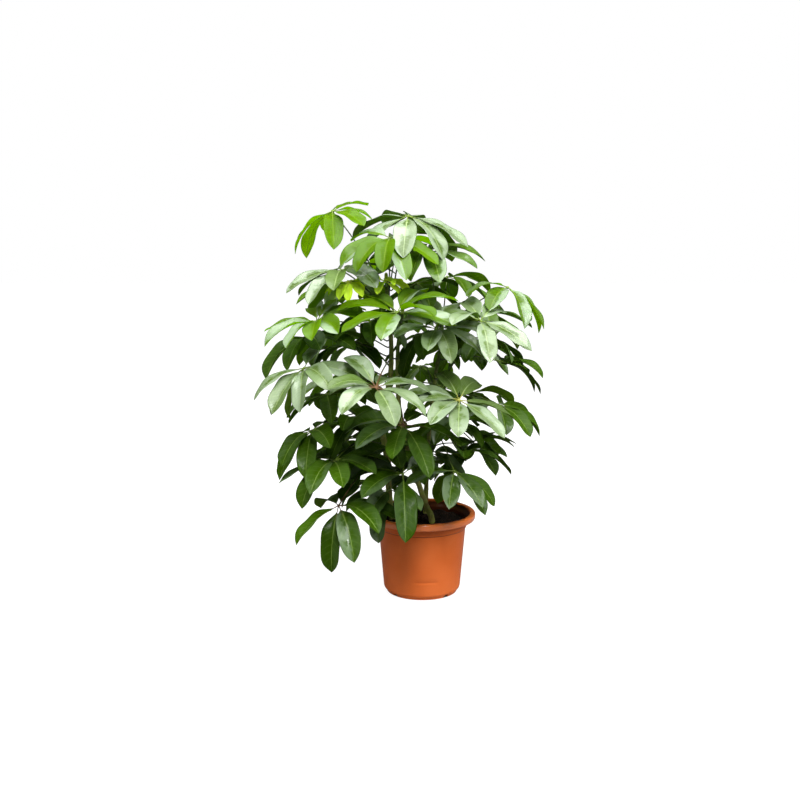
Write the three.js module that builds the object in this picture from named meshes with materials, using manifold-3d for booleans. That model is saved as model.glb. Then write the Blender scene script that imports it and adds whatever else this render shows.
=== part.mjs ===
// A potted umbrella plant: a plastic nursery pot, its soil, three woody stems and their compound leaves.
// Each compound leaf is one body: a long stalk, the hub at its end and the leaflets that hang from the hub.
// Millimetres, +Z up. The origin is the middle of the pot's underside, and the plant is seen from -Y.

import * as THREE from 'three';
import { mergeVertices } from 'three/addons/utils/BufferGeometryUtils.js';
import Module from 'manifold-3d';

const wasm = await Module();
wasm.setup();
const UP = new THREE.Vector3(0, 0, 1);

// Gap between pieces that touch, and the air that the rule below keeps between leaves
const SEAT_GAP = 0.3;
const LEAF_AIR = 1.5;
const LOWEST_LEAF = 4;

// Pot
const POT_HEIGHT = 205;
const POT_RIM_RADIUS = 135;
const POT_RIM_DEPTH = 17;
const POT_LIP_RADIUS = 121;
const POT_BAND_RADIUS = 114;
const POT_BAND_DEPTH = 19;
const POT_BODY_TOP_RADIUS = 110.5;
const POT_BODY_FOOT_RADIUS = 97;
const POT_FOOT_RADIUS = 90;
const POT_FOOT_HEIGHT = 5;
const POT_WALL = 2.8;
const POT_FLOOR_TOP = 9;
const POT_FLOOR_ROUNDING = 6;
const POT_SIDES = 36;
const DRAIN_RADIUS = 6;
const DRAIN_RING_RADIUS = 58;
const DRAIN_COUNT = 6;
const DRAIN_SIDES = 8;
const NOTCH_WIDTH = 13;
const NOTCH_LENGTH = 24;
const NOTCH_HEIGHT = 4;
const NOTCH_COUNT = 4;
const NOTCH_FIRST_ANGLE = 41;

// Underside of the pot from its middle outwards, with pad, foot ring and heel: [radius, height]
const POT_UNDERSIDE = [
  [0, 0], [28, 0], [30, POT_FOOT_HEIGHT], [POT_FOOT_RADIUS - 10, POT_FOOT_HEIGHT], [POT_FOOT_RADIUS - 8, 0],
  [POT_FOOT_RADIUS - 1, 0], [POT_FOOT_RADIUS, POT_FOOT_HEIGHT], [POT_FOOT_RADIUS + 4.5, POT_FOOT_HEIGHT + 3],
  [POT_BODY_FOOT_RADIUS, POT_FOOT_HEIGHT + 8],
];

// Rolled rim from its lower edge over the top to the lip: [distance inwards, distance below the top]
const POT_RIM = [
  [3, POT_RIM_DEPTH], [0, 13], [0, 6], [3, 1.5], [7, 0], [12, 1], [POT_RIM_RADIUS - POT_LIP_RADIUS, 5],
];

// Soil
const SOIL_TOP = 181;
const SOIL_LUMP = 2.2;
const SOIL_RINGS = [24, 48, 72, 92];
const SOIL_SLACK = 0.2;
const ROOT_DEPTH = 70;

// Stems: [x, y, z] of the middle line from the soil up, radius at the soil and below the tip
const STEM_SIDES = 7;
const STEM_STEP = 46;
const STEM_TIP_LENGTH = 16;
const STEM_COLLAR = 8;
const STEM_SCAR_SWELL = 1.08;
const STEMS = {
  left: {
    radii: [8.5, 4.5],
    line: [
      [-76, 8, SOIL_TOP], [-85, 10, 250], [-83, 10, 300], [-90, 10, 345], [-100, 14, 410], [-98, 16, 465],
      [-82, 20, 530], [-78, 20, 630], [-84, 5, 710], [-90, -20, 792],
    ],
  },
  front: {
    radii: [7.5, 4],
    line: [
      [24, -24, SOIL_TOP], [2, -24, 247], [-14, -18, 295], [-28, -12, 340], [-46, -6, 392],
      [-58, -8, 470], [-62, -16, 560], [-60, -26, 640], [-48, -36, 712],
    ],
  },
  right: {
    radii: [6, 3.5],
    line: [
      [10, 56, SOIL_TOP], [12, 54, 260], [18, 46, 389], [31, 38, 528],
      [42, 32, 600], [50, 26, 645], [46, 20, 700],
    ],
  },
};

// Leaf stalks and hubs
const STALK_SIDES = 3;
const STALK_RADIUS = 1.9;
const STALK_FOOT_RADIUS = 3.4;
const STALK_FOOT_LENGTH = 10;
const STALK_BOW_AT = 0.45;
const STALK_RISE = 0.16;
const STALK_STEPS = 4;
const HUB_RADIUS = 5.5;
const HUB_TOP_RADIUS = 3.5;
const HUB_LIFT = 2.2;
const HUB_WIDEST_GAP = 130;

// Leaflets: shares of the leaflet's length where its sections stand, and the proportions of its blade
const SECTIONS = [0.18, 0.37, 0.6, 0.82];
const ROOT_SECTION = 0.02;
const LEAFLET_WIDTH = 0.325;
const OUTLINE_LEAN = 1.12;
const OUTLINE_FULLNESS = 0.75;
const EVEN_DROOPS = [24, 34, 18, 28, 38, 22, 30];
const LEAFLET_CURL = 50;
const LEAFLET_CURL_SPREAD = 20;
const LEAFLET_ROLL_SPREAD = 10;
const LEAF_LEAN = 20;
const FULL_ROLL_SHARE = 0.4;
const BLADE_THICKNESS = 1.6;
const LEAFLET_TURN_GAP = 14;
const STALKLET_RADIUS = 1.5;

// One row for each compound leaf: its stem, the height where it leaves the stem, its hub, the length of its
// leaflets, and the direction of each leaflet in degrees: [turn, droop] or [turn, droop, length share].
// A turn of 0 points to the viewer, 90 to the right and 180 away; the droop is below the horizontal.
const LEAVES = {
  centre_front: ['front', 600, [-111, -290, 564], 138,
    [[-35, 19], [23, 30], [65, 24], [-62, -3, 0.9], [100, 8], [-143, -26], [167, -6], [-100, 10, 0.8]]],
  right_front_low: ['right', 540, [79, -240, 528], 140,
    [[-32, 15], [-4, 26], [58, 33], [-62, -3, 0.8], [95, 20], [-160, -20], [157, -10], [-110, 0]]],
  left_front: ['left', 545, [-278, -200, 597], 142,
    [[0, 40], [-38, 42], [-68, 30], [32, 15], [-100, 55], [-135, 68], [162, -12], [130, 16], [78, 10]]],
  mid: ['front', 690, [-62, -210, 726], 150,
    [[-14, 19], [34, 0], [94, -10], [-141, -9], [-105, 0], [-60, 15], [65, 10], [150, -15]]],
  right_front: ['right', 640, [128, -200, 706], 138,
    [[8, 39], [52, 22], [-33, 0], [85, 30], [125, 33], [150, -5], [-165, -14], [-80, 5], [-120, 0]]],
  left_mid: ['left', 640, [-252, -140, 700], 142,
    [[-70, 24], [-28, 22], [0, 13], [25, 7], [-175, -8], [152, -17], [122, -8], [-110, 12], [75, 0]]],
  top_centre: ['left', 765, [-37, -60, 943], 168,
    [[-5, 35], [41, 40], [71, 26], [-82, 41], [-120, 25], [115, 38], [170, 12], [-160, 10]]],
  top_left: ['left', 775, [-222, 20, 955], 148,
    [[5, 39], [-68, 47], [-120, 56], [35, 14], [75, 12, 0.75], [145, -6], [-170, 20]]],
  right_top: ['right', 670, [202, -60, 774], 140,
    [[20, 44], [-24, 20], [-52, 7], [60, 45], [88, 55], [140, 40]]],
  low_left_front: ['left', 350, [-201, -200, 271], 160,
    [[-16, 71], [22, 44], [-38, 23], [42, 14], [161, -3], [-160, 16], [100, 15]]],
  low_left_2: ['left', 400, [-212, -170, 372], 145,
    [[-52, 48], [12, 13], [46, 4], [-22, 22], [-85, 22], [145, 5], [95, 5], [-145, 15]]],
  low_left_1: ['left', 452, [-266, -122, 436], 145,
    [[-32, 29], [-61, 58], [-5, 43], [22, 7], [-100, 45], [-150, 30], [160, 5], [80, 5]]],
  centre_low: ['front', 480, [-48, -210, 465], 150,
    [[35, 46], [-10, 20], [78, 18], [156, 2], [-50, 15], [-100, 10], [-150, 0]]],
  pot_front: ['front', 380, [-49, -190, 345], 145,
    [[3, 53, 1.2], [-44, 14], [140, 0], [-110, 10], [-165, 18]]],
  right_low: ['right', 420, [72, -150, 343], 133,
    [[-8, 29], [34, 30], [53, 46], [80, 40], [-155, 50], [138, 48], [-65, 10]]],
  right_mid: ['right', 650, [30, -160, 683], 134,
    [[-11, 16], [16, 32], [58, 25], [-50, 5], [-143, -6], [-173, -22], [145, -24], [95, 5]]],
  upper_right: ['right', 675, [8, -70, 861], 150,
    [[-18, 28], [12, 22], [53, 15], [93, 10], [140, 0], [-160, 6], [-110, 10], [-60, 15]]],
  upper_mid: ['left', 740, [-79, -130, 892], 138,
    [[-8, 35], [22, 37], [-78, 29], [-45, 35], [65, 20], [130, 0], [-140, 10]]],
  left_upper: ['left', 725, [-196, -80, 816], 148,
    [[-70, 21], [-34, 31], [-4, 16], [-122, 27], [40, 15], [100, 5], [151, 3], [-170, 10]]],
  young_left: ['left', 786, [-178, -110, 790], 68,
    [[-50, 28], [-22, 36], [3, 38], [38, 24], [95, 15], [145, 17], [-110, 25]]],
  young_mid: ['left', 780, [-93, -110, 792], 70,
    [[-42, 8], [20, 6], [85, 26], [62, 38], [-14, 24], [140, 10], [-95, 10]]],
  right_low_back: ['right', 500, [183, -60, 488], 132,
    [[5, 24], [40, 30], [75, 35], [120, 30], [165, 15], [-45, 10]]],
  right_far: ['right', 590, [195, 40, 582], 138,
    [[52, 14], [76, 37], [110, 40], [140, 20], [172, 10]]],
  left_dark: ['left', 600, [-283, -60, 654], 150,
    [[-75, 46], [-16, 28], [18, 6], [-120, 40], [60, 10], [110, 10], [-165, 25]]],
  low_left_dark: ['left', 430, [-169, -100, 460], 120,
    [[-42, 50], [-10, 4], [-80, 30], [35, 20], [85, 10], [150, 0], [-140, 15]]],
  pot_left: ['left', 330, [-82, -130, 292], 135,
    [[-42, 67], [-22, 15], [35, 10], [150, 5], [-110, 30]]],
  right_low_2: ['right', 425, [96, -50, 367], 120,
    [[45, 0], [85, 5], [125, 13], [0, -5], [175, 0]]],
  right_low_3: ['right', 450, [128, 20, 380], 120,
    [[66, -2], [30, 7], [105, 10], [150, 0], [-20, -5]]],
  inner_top: ['right', 690, [-15, 10, 780], 140, evenly(6, 15)],
  inner_right: ['right', 630, [0, 30, 655], 140, evenly(6, 0)],
  inner_left: ['left', 530, [-240, 0, 505], 135, evenly(6, 10)],
  inner_left_high: ['left', 660, [-180, 50, 625], 130, evenly(6, 40)],
  inner_mid: ['left', 700, [-130, -60, 692], 120, evenly(6, 5)],
  inner_front: ['front', 530, [45, -30, 530], 135, evenly(6, 20)],
  inner_low_right: ['right', 470, [85, 10, 440], 130, evenly(6, 30)],
  inner_low: ['front', 420, [-75, -80, 385], 125, evenly(6, 10)],
  inner_low_left: ['left', 380, [-195, 30, 385], 135, evenly(6, 25)],
  inner_low_mid: ['right', 380, [20, 30, 350], 120, evenly(6, 0)],
  inner_high_right: ['right', 640, [150, 30, 640], 130, evenly(6, 35)],
  inner_pot: ['left', 300, [-130, 70, 270], 115, evenly(5, 10)],
  back_top: ['left', 750, [-60, 110, 880], 150, evenly(7, 10)],
  back_upper_left: ['left', 700, [-190, 110, 780], 150, evenly(7, 35)],
  back_upper_right: ['right', 680, [65, 120, 790], 150, evenly(7, 20)],
  back_right_high: ['right', 655, [160, 110, 700], 145, evenly(7, 5)],
  back_mid_left: ['left', 620, [-230, 140, 640], 150, evenly(7, 30)],
  back_mid: ['front', 660, [-60, 220, 690], 150, evenly(7, 0)],
  back_mid_right: ['right', 610, [120, 220, 610], 150, evenly(7, 15)],
  back_centre: ['right', 520, [0, 270, 540], 150, evenly(7, 25)],
  back_left: ['left', 500, [-200, 210, 520], 150, evenly(7, 40)],
  back_right: ['right', 470, [130, 180, 480], 145, evenly(7, 10)],
  back_low_left: ['left', 420, [-150, 220, 400], 145, evenly(7, 20)],
  back_low: ['right', 400, [20, 240, 380], 145, evenly(7, 0)],
  back_low_right: ['right', 360, [130, 140, 340], 135, evenly(6, 30)],
  back_pot_left: ['left', 340, [-200, 110, 320], 135, evenly(6, 15)],
};

const TONES = {
  pot: [0xc8622f, 0.45],
  soil: [0x2c1c12, 0.95],
  stem: [0x4a4a2c, 0.7],
  leaf: [0x3f6f1e, 0.35],
  young: [0xa8c832, 0.4],
};

// Directions of leaflets that stand evenly round their hub, the first turned by phase
function evenly(count, phase) {
  return Array.from({ length: count }, (unused, i) => [wrap(phase + (360 * i) / count), EVEN_DROOPS[i]]);
}

// A draw between -1 and 1 that is always the same for the same number
function draw(seed) {
  const raw = Math.sin(seed * 12.9898 + 4.1414) * 43758.5453;
  return 2 * (raw - Math.floor(raw)) - 1;
}

// Mesh in the making: points and triangles whose faces all look the same way
class Skin {
  constructor() {
    this.points = [];
    this.triangles = [];
  }

  add(...points) {
    const first = this.points.length;
    this.points.push(...points);
    return points.map((unused, i) => first + i);
  }

  // Wall between two rings with the same number of points, split alike on either side of the middle
  wall(ring, next) {
    ring.forEach((a, i) => {
      const j = (i + 1) % ring.length;
      const [b, c, d] = [ring[j], next[j], next[i]];
      this.triangles.push(...(i % 2 === 0 ? [[a, b, c], [a, c, d]] : [[a, b, d], [b, c, d]]));
    });
  }

  point(ring, tip) {
    ring.forEach((a, i) => this.triangles.push([a, ring[(i + 1) % ring.length], tip]));
  }

  face(ring) {
    for (let i = 1; i + 1 < ring.length; i += 1) {
      this.triangles.push([ring[0], ring[i], ring[i + 1]]);
    }
  }

  // Walls from ring to ring, the last of which may be a single point
  sleeve(rings) {
    for (let i = 0; i + 1 < rings.length; i += 1) {
      if (rings[i + 1].length === 1) {
        this.point(rings[i], rings[i + 1][0]);
      } else {
        this.wall(rings[i], rings[i + 1]);
      }
    }
  }
}

// Closed body through rings of points
function closed(rings) {
  const body = new Skin();
  const ringed = rings.map((ring) => body.add(...ring));
  const last = ringed[ringed.length - 1];
  body.sleeve(ringed);
  body.face([...ringed[0]].reverse());
  if (last.length > 1) {
    body.face(last);
  }
  return outward(body);
}

function signedVolume({ points, triangles }) {
  let sum = 0;
  for (const [a, b, c] of triangles) {
    sum += points[a].dot(points[b].clone().cross(points[c]));
  }
  return sum / 6;
}

// Faces of the mesh all turned outwards
function outward(mesh) {
  if (signedVolume(mesh) < 0) {
    mesh.triangles = mesh.triangles.map(([a, b, c]) => [a, c, b]);
  }
  return mesh;
}

function toSolid({ points, triangles }) {
  const vertProperties = new Float32Array(points.flatMap((p) => [p.x, p.y, p.z]));
  const triVerts = new Uint32Array(triangles.flat());
  const mesh = new wasm.Mesh({ numProp: 3, vertProperties, triVerts });
  return new wasm.Manifold(mesh);
}

function fromGeometry(geometry) {
  const bare = geometry.index ? geometry.toNonIndexed() : geometry.clone();
  bare.deleteAttribute('normal');
  bare.deleteAttribute('uv');
  const merged = mergeVertices(bare, 1e-4);
  const place = merged.getAttribute('position');
  const point = (unused, i) => new THREE.Vector3().fromBufferAttribute(place, i);
  const points = Array.from({ length: place.count }, point);
  const triangles = [];
  for (let i = 0; i < merged.index.count; i += 3) {
    const corners = [merged.index.getX(i), merged.index.getX(i + 1), merged.index.getX(i + 2)];
    if (new Set(corners).size === 3) {
      triangles.push(corners);
    }
  }
  return { points, triangles };
}

function toGeometry(solid) {
  const mesh = solid.getMesh();
  const geometry = new THREE.BufferGeometry();
  const positions = new Float32Array(mesh.numVert * 3);
  for (let i = 0; i < mesh.numVert; i += 1) {
    positions.set(mesh.vertProperties.subarray(i * mesh.numProp, i * mesh.numProp + 3), i * 3);
  }
  geometry.setAttribute('position', new THREE.BufferAttribute(positions, 3));
  geometry.setIndex(new THREE.BufferAttribute(new Uint32Array(mesh.triVerts), 1));
  geometry.computeVertexNormals();
  return geometry;
}

// Lathe about +Z from [radius, height] points
function turned(profile, sides) {
  const lathe = new THREE.LatheGeometry(profile.map(([r, z]) => new THREE.Vector2(r, z)), sides);
  lathe.rotateX(Math.PI / 2);
  return outward(fromGeometry(lathe));
}

// Upright prism with the given corner radius, from one height to another
function prism(x, y, radius, sides, low, high) {
  const ring = (z) => Array.from({ length: sides }, (unused, i) => {
    const angle = (2 * Math.PI * i) / sides;
    return new THREE.Vector3(x + radius * Math.cos(angle), y + radius * Math.sin(angle), z);
  });
  return closed([ring(low), ring(high)]);
}

function potProfile() {
  const rimLow = POT_HEIGHT - POT_RIM_DEPTH;
  const bandLow = rimLow - POT_BAND_DEPTH;
  return [
    ...POT_UNDERSIDE,
    [POT_BODY_TOP_RADIUS, bandLow - 1], [POT_BAND_RADIUS - 0.5, bandLow + 1], [POT_BAND_RADIUS, rimLow - 0.5],
    ...POT_RIM.map(([inward, below]) => [POT_RIM_RADIUS - inward, POT_HEIGHT - below]),
    [POT_BAND_RADIUS - POT_WALL, rimLow - 2], [POT_BODY_TOP_RADIUS - POT_WALL, bandLow],
    [POT_BODY_FOOT_RADIUS - POT_WALL, POT_FLOOR_TOP + POT_FLOOR_ROUNDING],
    [POT_FOOT_RADIUS, POT_FLOOR_TOP], [0, POT_FLOOR_TOP],
  ];
}

// Inner radius of the pot's wall at a height, read from the profile's inner points
function wallInside(height) {
  const inner = potProfile().slice(-6, -1).reverse();
  for (let i = 0; i + 1 < inner.length; i += 1) {
    const [lowRadius, low] = inner[i];
    const [highRadius, high] = inner[i + 1];
    if (height <= high) {
      return lowRadius + ((highRadius - lowRadius) * (height - low)) / (high - low);
    }
  }
  return inner[inner.length - 1][0];
}

function makePot() {
  let solid = toSolid(turned(potProfile(), POT_SIDES));
  for (let i = 0; i < NOTCH_COUNT; i += 1) {
    const angle = THREE.MathUtils.degToRad(NOTCH_FIRST_ANGLE + (360 * i) / NOTCH_COUNT);
    const box = new THREE.BoxGeometry(NOTCH_LENGTH, NOTCH_WIDTH, 2 * NOTCH_HEIGHT);
    box.translate(POT_FOOT_RADIUS, 0, 0);
    box.rotateZ(angle);
    solid = solid.subtract(toSolid(fromGeometry(box)));
  }
  for (let i = 0; i < DRAIN_COUNT; i += 1) {
    const angle = (2 * Math.PI * (i + 0.5)) / DRAIN_COUNT;
    const x = DRAIN_RING_RADIUS * Math.cos(angle);
    const y = DRAIN_RING_RADIUS * Math.sin(angle);
    solid = solid.subtract(toSolid(prism(x, y, DRAIN_RADIUS, DRAIN_SIDES, 0, POT_FLOOR_TOP + 2)));
  }
  return solid;
}

// Height of the soil's rough top, from waves that cross each other
function soilHeight(x, y) {
  const lumps = Math.sin(x * 0.11 + 1.3) * Math.cos(y * 0.13 - 0.4) + 0.6 * Math.sin((x + y) * 0.23);
  return SOIL_TOP + SOIL_LUMP * lumps;
}

function makeSoil(stems) {
  const low = POT_FLOOR_TOP + SEAT_GAP;
  const shoulder = SOIL_TOP - 2;
  const profile = [
    [POT_FOOT_RADIUS - SEAT_GAP - SOIL_SLACK, low],
    [POT_BODY_FOOT_RADIUS - POT_WALL - SEAT_GAP, POT_FLOOR_TOP + POT_FLOOR_ROUNDING],
    [POT_BODY_TOP_RADIUS - POT_WALL - SEAT_GAP, POT_HEIGHT - POT_RIM_DEPTH - POT_BAND_DEPTH],
    [wallInside(shoulder) - SEAT_GAP - SOIL_SLACK / 2, shoulder],
  ];
  const ring = (radius, height) => Array.from({ length: POT_SIDES }, (unused, i) => {
    const angle = (2 * Math.PI * i) / POT_SIDES;
    const x = radius * Math.cos(angle);
    const y = radius * Math.sin(angle);
    return new THREE.Vector3(x, y, height ?? soilHeight(x, y));
  });
  const rings = profile.map(([radius, height]) => ring(radius, height));
  rings.push(...[...SOIL_RINGS].reverse().map((radius) => ring(radius)));
  rings.push([new THREE.Vector3(0, 0, soilHeight(0, 0))]);
  let solid = toSolid(closed(rings));
  for (const stem of Object.values(stems)) {
    const foot = stem.stations[0];
    const radius = stem.footRadius + SEAT_GAP / Math.cos(Math.PI / STEM_SIDES);
    const hole = prism(foot.x, foot.y, radius, STEM_SIDES, SOIL_TOP - ROOT_DEPTH - SEAT_GAP, SOIL_TOP + 20);
    solid = solid.subtract(toSolid(hole));
  }
  return solid;
}

// Stations of a stem from its buried foot to its tip, with the radius at each
function traceStem({ line, radii }) {
  const curve = new THREE.CatmullRomCurve3(line.map((p) => new THREE.Vector3(...p)), false, 'centripetal');
  const steps = Math.round(curve.getLength() / STEM_STEP);
  const stations = curve.getSpacedPoints(steps);
  const foot = stations[0].clone().setZ(SOIL_TOP - ROOT_DEPTH);
  const collar = stations[0].clone().setZ(SOIL_TOP + STEM_COLLAR);
  const upward = stations.slice(1);
  const last = upward[upward.length - 1];
  const tip = last.clone().add(last.clone().sub(upward[upward.length - 2]).setLength(STEM_TIP_LENGTH));
  const all = [foot, collar, ...upward];
  const radius = all.map((unused, i) => {
    const share = Math.max(0, i - 1) / (all.length - 2);
    const scar = i > 1 && i % 2 === 0 ? STEM_SCAR_SWELL : 1;
    return scar * THREE.MathUtils.lerp(radii[0], radii[1], share);
  });
  return { stations: all, radius, tip, footRadius: radii[0] };
}

// Unit vectors across a slanted direction, the first of them level
function frameAlong(direction) {
  const across = new THREE.Vector3(direction.y, -direction.x, 0).normalize();
  return [across, new THREE.Vector3().crossVectors(across, direction).normalize()];
}

function stemMesh(stem) {
  const rings = stem.stations.map((place, i) => Array.from({ length: STEM_SIDES }, (unused, k) => {
    const angle = (2 * Math.PI * k) / STEM_SIDES;
    const outward = new THREE.Vector3(Math.cos(angle), Math.sin(angle), 0);
    return outward.multiplyScalar(stem.radius[i]).add(place);
  }));
  rings.push([stem.tip]);
  return closed(rings);
}

// Point, direction and radius of the stem at a height
function stemAt(stem, height) {
  const { stations, radius } = stem;
  let i = 0;
  while (i + 2 < stations.length && stations[i + 1].z < height) {
    i += 1;
  }
  const share = THREE.MathUtils.clamp((height - stations[i].z) / (stations[i + 1].z - stations[i].z), 0, 1);
  return {
    point: stations[i].clone().lerp(stations[i + 1], share),
    direction: stations[i + 1].clone().sub(stations[i]).normalize(),
    radius: THREE.MathUtils.lerp(radius[i], radius[i + 1], share),
  };
}

// How far a point stands off a stem's faceted bark, measured level
function barkGap(stem, place) {
  const { point, radius } = stemAt(stem, place.z);
  const facet = (2 * Math.PI) / STEM_SIDES;
  const angle = Math.atan2(place.y - point.y, place.x - point.x);
  const offMiddle = angle - facet * (Math.floor(angle / facet) + 0.5);
  const bark = (radius * Math.cos(facet / 2)) / Math.cos(offMiddle);
  return Math.hypot(place.x - point.x, place.y - point.y) - bark;
}

// Corners of a stalk's three-sided section
function stalkRing(place, direction, radius) {
  const [across, upright] = frameAlong(direction);
  return Array.from({ length: STALK_SIDES }, (unused, k) => {
    const angle = (2 * Math.PI * (k + 0.5)) / STALK_SIDES;
    return place.clone()
      .addScaledVector(across, radius * Math.cos(angle))
      .addScaledVector(upright, radius * Math.sin(angle));
  });
}

// Middle of a stalk's foot, with its end face just off the bark where it comes nearest
function seatFoot(stem, height, away) {
  const { point, radius } = stemAt(stem, height);
  const foot = point.clone().addScaledVector(away, radius);
  const corners = stalkRing(foot, away, STALK_FOOT_RADIUS);
  const middles = corners.map((corner, k) => corner.clone().lerp(corners[(k + 1) % STALK_SIDES], 0.5));
  const nearest = Math.min(...[foot, ...corners, ...middles].map((place) => barkGap(stem, place)));
  return foot.addScaledVector(away, (SEAT_GAP - nearest) / Math.hypot(away.x, away.y));
}

// Path of a leaf's stalk from just outside the stem's bark to the hub, bowed by [sideways, upwards]
function stalkPath(stem, height, hub, [sideways, upwards]) {
  const { point, direction } = stemAt(stem, height);
  const reach = hub.clone().sub(point);
  const away = reach.clone().addScaledVector(direction, -reach.dot(direction)).normalize();
  const foot = seatFoot(stem, height, away);
  const knee = foot.clone().addScaledVector(away, STALK_FOOT_LENGTH);
  const span = hub.clone().sub(knee);
  const side = new THREE.Vector3(span.y, -span.x, 0).normalize();
  const bow = knee.clone().addScaledVector(span, STALK_BOW_AT);
  bow.addScaledVector(side, sideways * span.length());
  bow.z += (STALK_RISE + upwards) * Math.hypot(span.x, span.y);
  const curve = new THREE.QuadraticBezierCurve3(knee, bow, hub);
  return [foot, ...curve.getPoints(STALK_STEPS)];
}

function stalkMesh(path, extra = 0) {
  const rings = path.map((place, i) => {
    const before = path[Math.max(0, i - 1)];
    const after = path[Math.min(path.length - 1, i + 1)];
    const radius = (i === 0 ? STALK_FOOT_RADIUS : STALK_RADIUS) + extra;
    return stalkRing(place, after.clone().sub(before).normalize(), radius);
  });
  return closed(rings);
}

// Half the blade's width at a share of the blade's length, as a share of the full width
function outline(share) {
  return 0.5 * Math.sin(Math.PI * share ** OUTLINE_LEAN) ** OUTLINE_FULLNESS;
}

// Rings of one leaflet from its stalklet to its tip. The middle line is an arc in the upright plane of its
// turn, and each section has an edge on either side and the rib above them.
function leafletRings(hub, { turn, droop, length, curl, roll }, extra = 0, sections = SECTIONS) {
  const { ahead, level } = compass(turn);
  const bend = THREE.MathUtils.degToRad(curl);
  const first = THREE.MathUtils.degToRad(droop) - bend / 2;
  const arc = (share) => {
    const slope = first + bend * share;
    const forward = (length / bend) * (Math.sin(slope) - Math.sin(first));
    const down = (length / bend) * (Math.cos(first) - Math.cos(slope));
    const run = ahead.clone().multiplyScalar(Math.cos(slope)).addScaledVector(UP, -Math.sin(slope));
    const normal = ahead.clone().multiplyScalar(Math.sin(slope)).addScaledVector(UP, Math.cos(slope));
    const twist = THREE.MathUtils.degToRad(roll) * Math.min(1, share / FULL_ROLL_SHARE);
    return {
      place: hub.clone().addScaledVector(ahead, forward).addScaledVector(UP, -down),
      normal: normal.applyAxisAngle(run, twist),
      side: level.clone().applyAxisAngle(run, twist),
    };
  };
  const rings = sections.map((share) => {
    const { place, normal, side } = arc(share);
    const blade = (share - SECTIONS[0]) / (1 - SECTIONS[0]);
    const half = (blade > 0 ? outline(blade) * LEAFLET_WIDTH * length : STALKLET_RADIUS) + extra;
    const rib = blade > 0 ? BLADE_THICKNESS : 1.5 * STALKLET_RADIUS;
    return [
      place.clone().addScaledVector(side, -half).addScaledVector(normal, -rib / 2 - extra),
      place.clone().addScaledVector(normal, rib / 2 + 2 * extra),
      place.clone().addScaledVector(side, half).addScaledVector(normal, -rib / 2 - extra),
    ];
  });
  return [...rings, [arc(1 + extra / length).place]];
}

// Unit vectors for a turn round the upright axis: ahead, and level across it
function compass(turn) {
  const heading = THREE.MathUtils.degToRad(turn);
  return {
    ahead: new THREE.Vector3(Math.sin(heading), -Math.cos(heading), 0),
    level: new THREE.Vector3(Math.cos(heading), Math.sin(heading), 0),
  };
}

// The hub and its leaflets as one skin. The hub has a top and a bottom corner for each leaflet in turn, and
// a leaflet grows out of the triangle between two bottom corners and its top one. A wide gap gets a bare one.
function umbrella(hub, leaflets) {
  const sorted = [...leaflets].sort((p, q) => p.turn - q.turn);
  const arms = sorted.flatMap((leaflet, i) => {
    const next = i + 1 < sorted.length ? sorted[i + 1].turn : sorted[0].turn + 360;
    const gap = next - leaflet.turn;
    const fillers = Math.floor(gap / HUB_WIDEST_GAP);
    const step = gap / (fillers + 1);
    const bare = Array.from({ length: fillers }, (unused, k) => ({ turn: leaflet.turn + (k + 1) * step }));
    return [leaflet, ...bare];
  });
  const corner = (turn, radius, lift) => {
    const { ahead } = compass(turn);
    return hub.clone().addScaledVector(ahead, radius).addScaledVector(UP, lift);
  };
  const body = new Skin();
  const tops = body.add(...arms.map((arm) => corner(arm.turn, HUB_TOP_RADIUS, HUB_LIFT)));
  const bottoms = body.add(...arms.map((arm, i) => {
    const before = i > 0 ? arms[i - 1].turn : arms[arms.length - 1].turn - 360;
    return corner((before + arm.turn) / 2, HUB_RADIUS, -HUB_LIFT);
  }));
  arms.forEach((arm, i) => {
    const next = (i + 1) % arms.length;
    const root = [bottoms[i], tops[i], bottoms[next]];
    body.triangles.push([tops[i], tops[next], bottoms[next]]);
    if (arm.rings) {
      body.sleeve([root, ...arm.rings.map((ring) => body.add(...ring))]);
    } else {
      body.face(root);
    }
  });
  body.face([...tops].reverse());
  body.face(bottoms);
  return outward(body);
}

// Does the segment from p to q pass through triangle a, b, c?
function pierces(p, q, a, b, c) {
  const run = q.clone().sub(p);
  const e1 = b.clone().sub(a);
  const e2 = c.clone().sub(a);
  const cross = run.clone().cross(e2);
  const det = e1.dot(cross);
  if (Math.abs(det) < 1e-9) {
    return false;
  }
  const s = p.clone().sub(a);
  const u = s.dot(cross) / det;
  if (u < 0 || u > 1) {
    return false;
  }
  const t = s.cross(e1);
  const v = run.dot(t) / det;
  if (v < 0 || u + v > 1) {
    return false;
  }
  const along = e2.dot(t) / det;
  return along >= 0 && along <= 1;
}

// A mesh as loose triangles with their boxes, ready to be tested against others
function obstacle({ points, triangles }, owner) {
  const faces = triangles.map((corners) => {
    const abc = corners.map((k) => points[k]);
    return { abc, box: new THREE.Box3().setFromPoints(abc) };
  });
  const box = new THREE.Box3();
  faces.forEach((face) => box.union(face.box));
  return { faces, box, owner };
}

function facesCross(first, second) {
  const edgeCrosses = ({ abc }, other) => {
    return abc.some((corner, i) => pierces(corner, abc[(i + 1) % 3], ...other.abc));
  };
  return edgeCrosses(first, second) || edgeCrosses(second, first);
}

function cross(one, other) {
  if (!one.box.intersectsBox(other.box)) {
    return false;
  }
  const near = other.faces.filter((face) => face.box.intersectsBox(one.box));
  return one.faces.some((face) => face.box.intersectsBox(other.box)
    && near.some((facing) => face.box.intersectsBox(facing.box) && facesCross(face, facing)));
}

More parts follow.
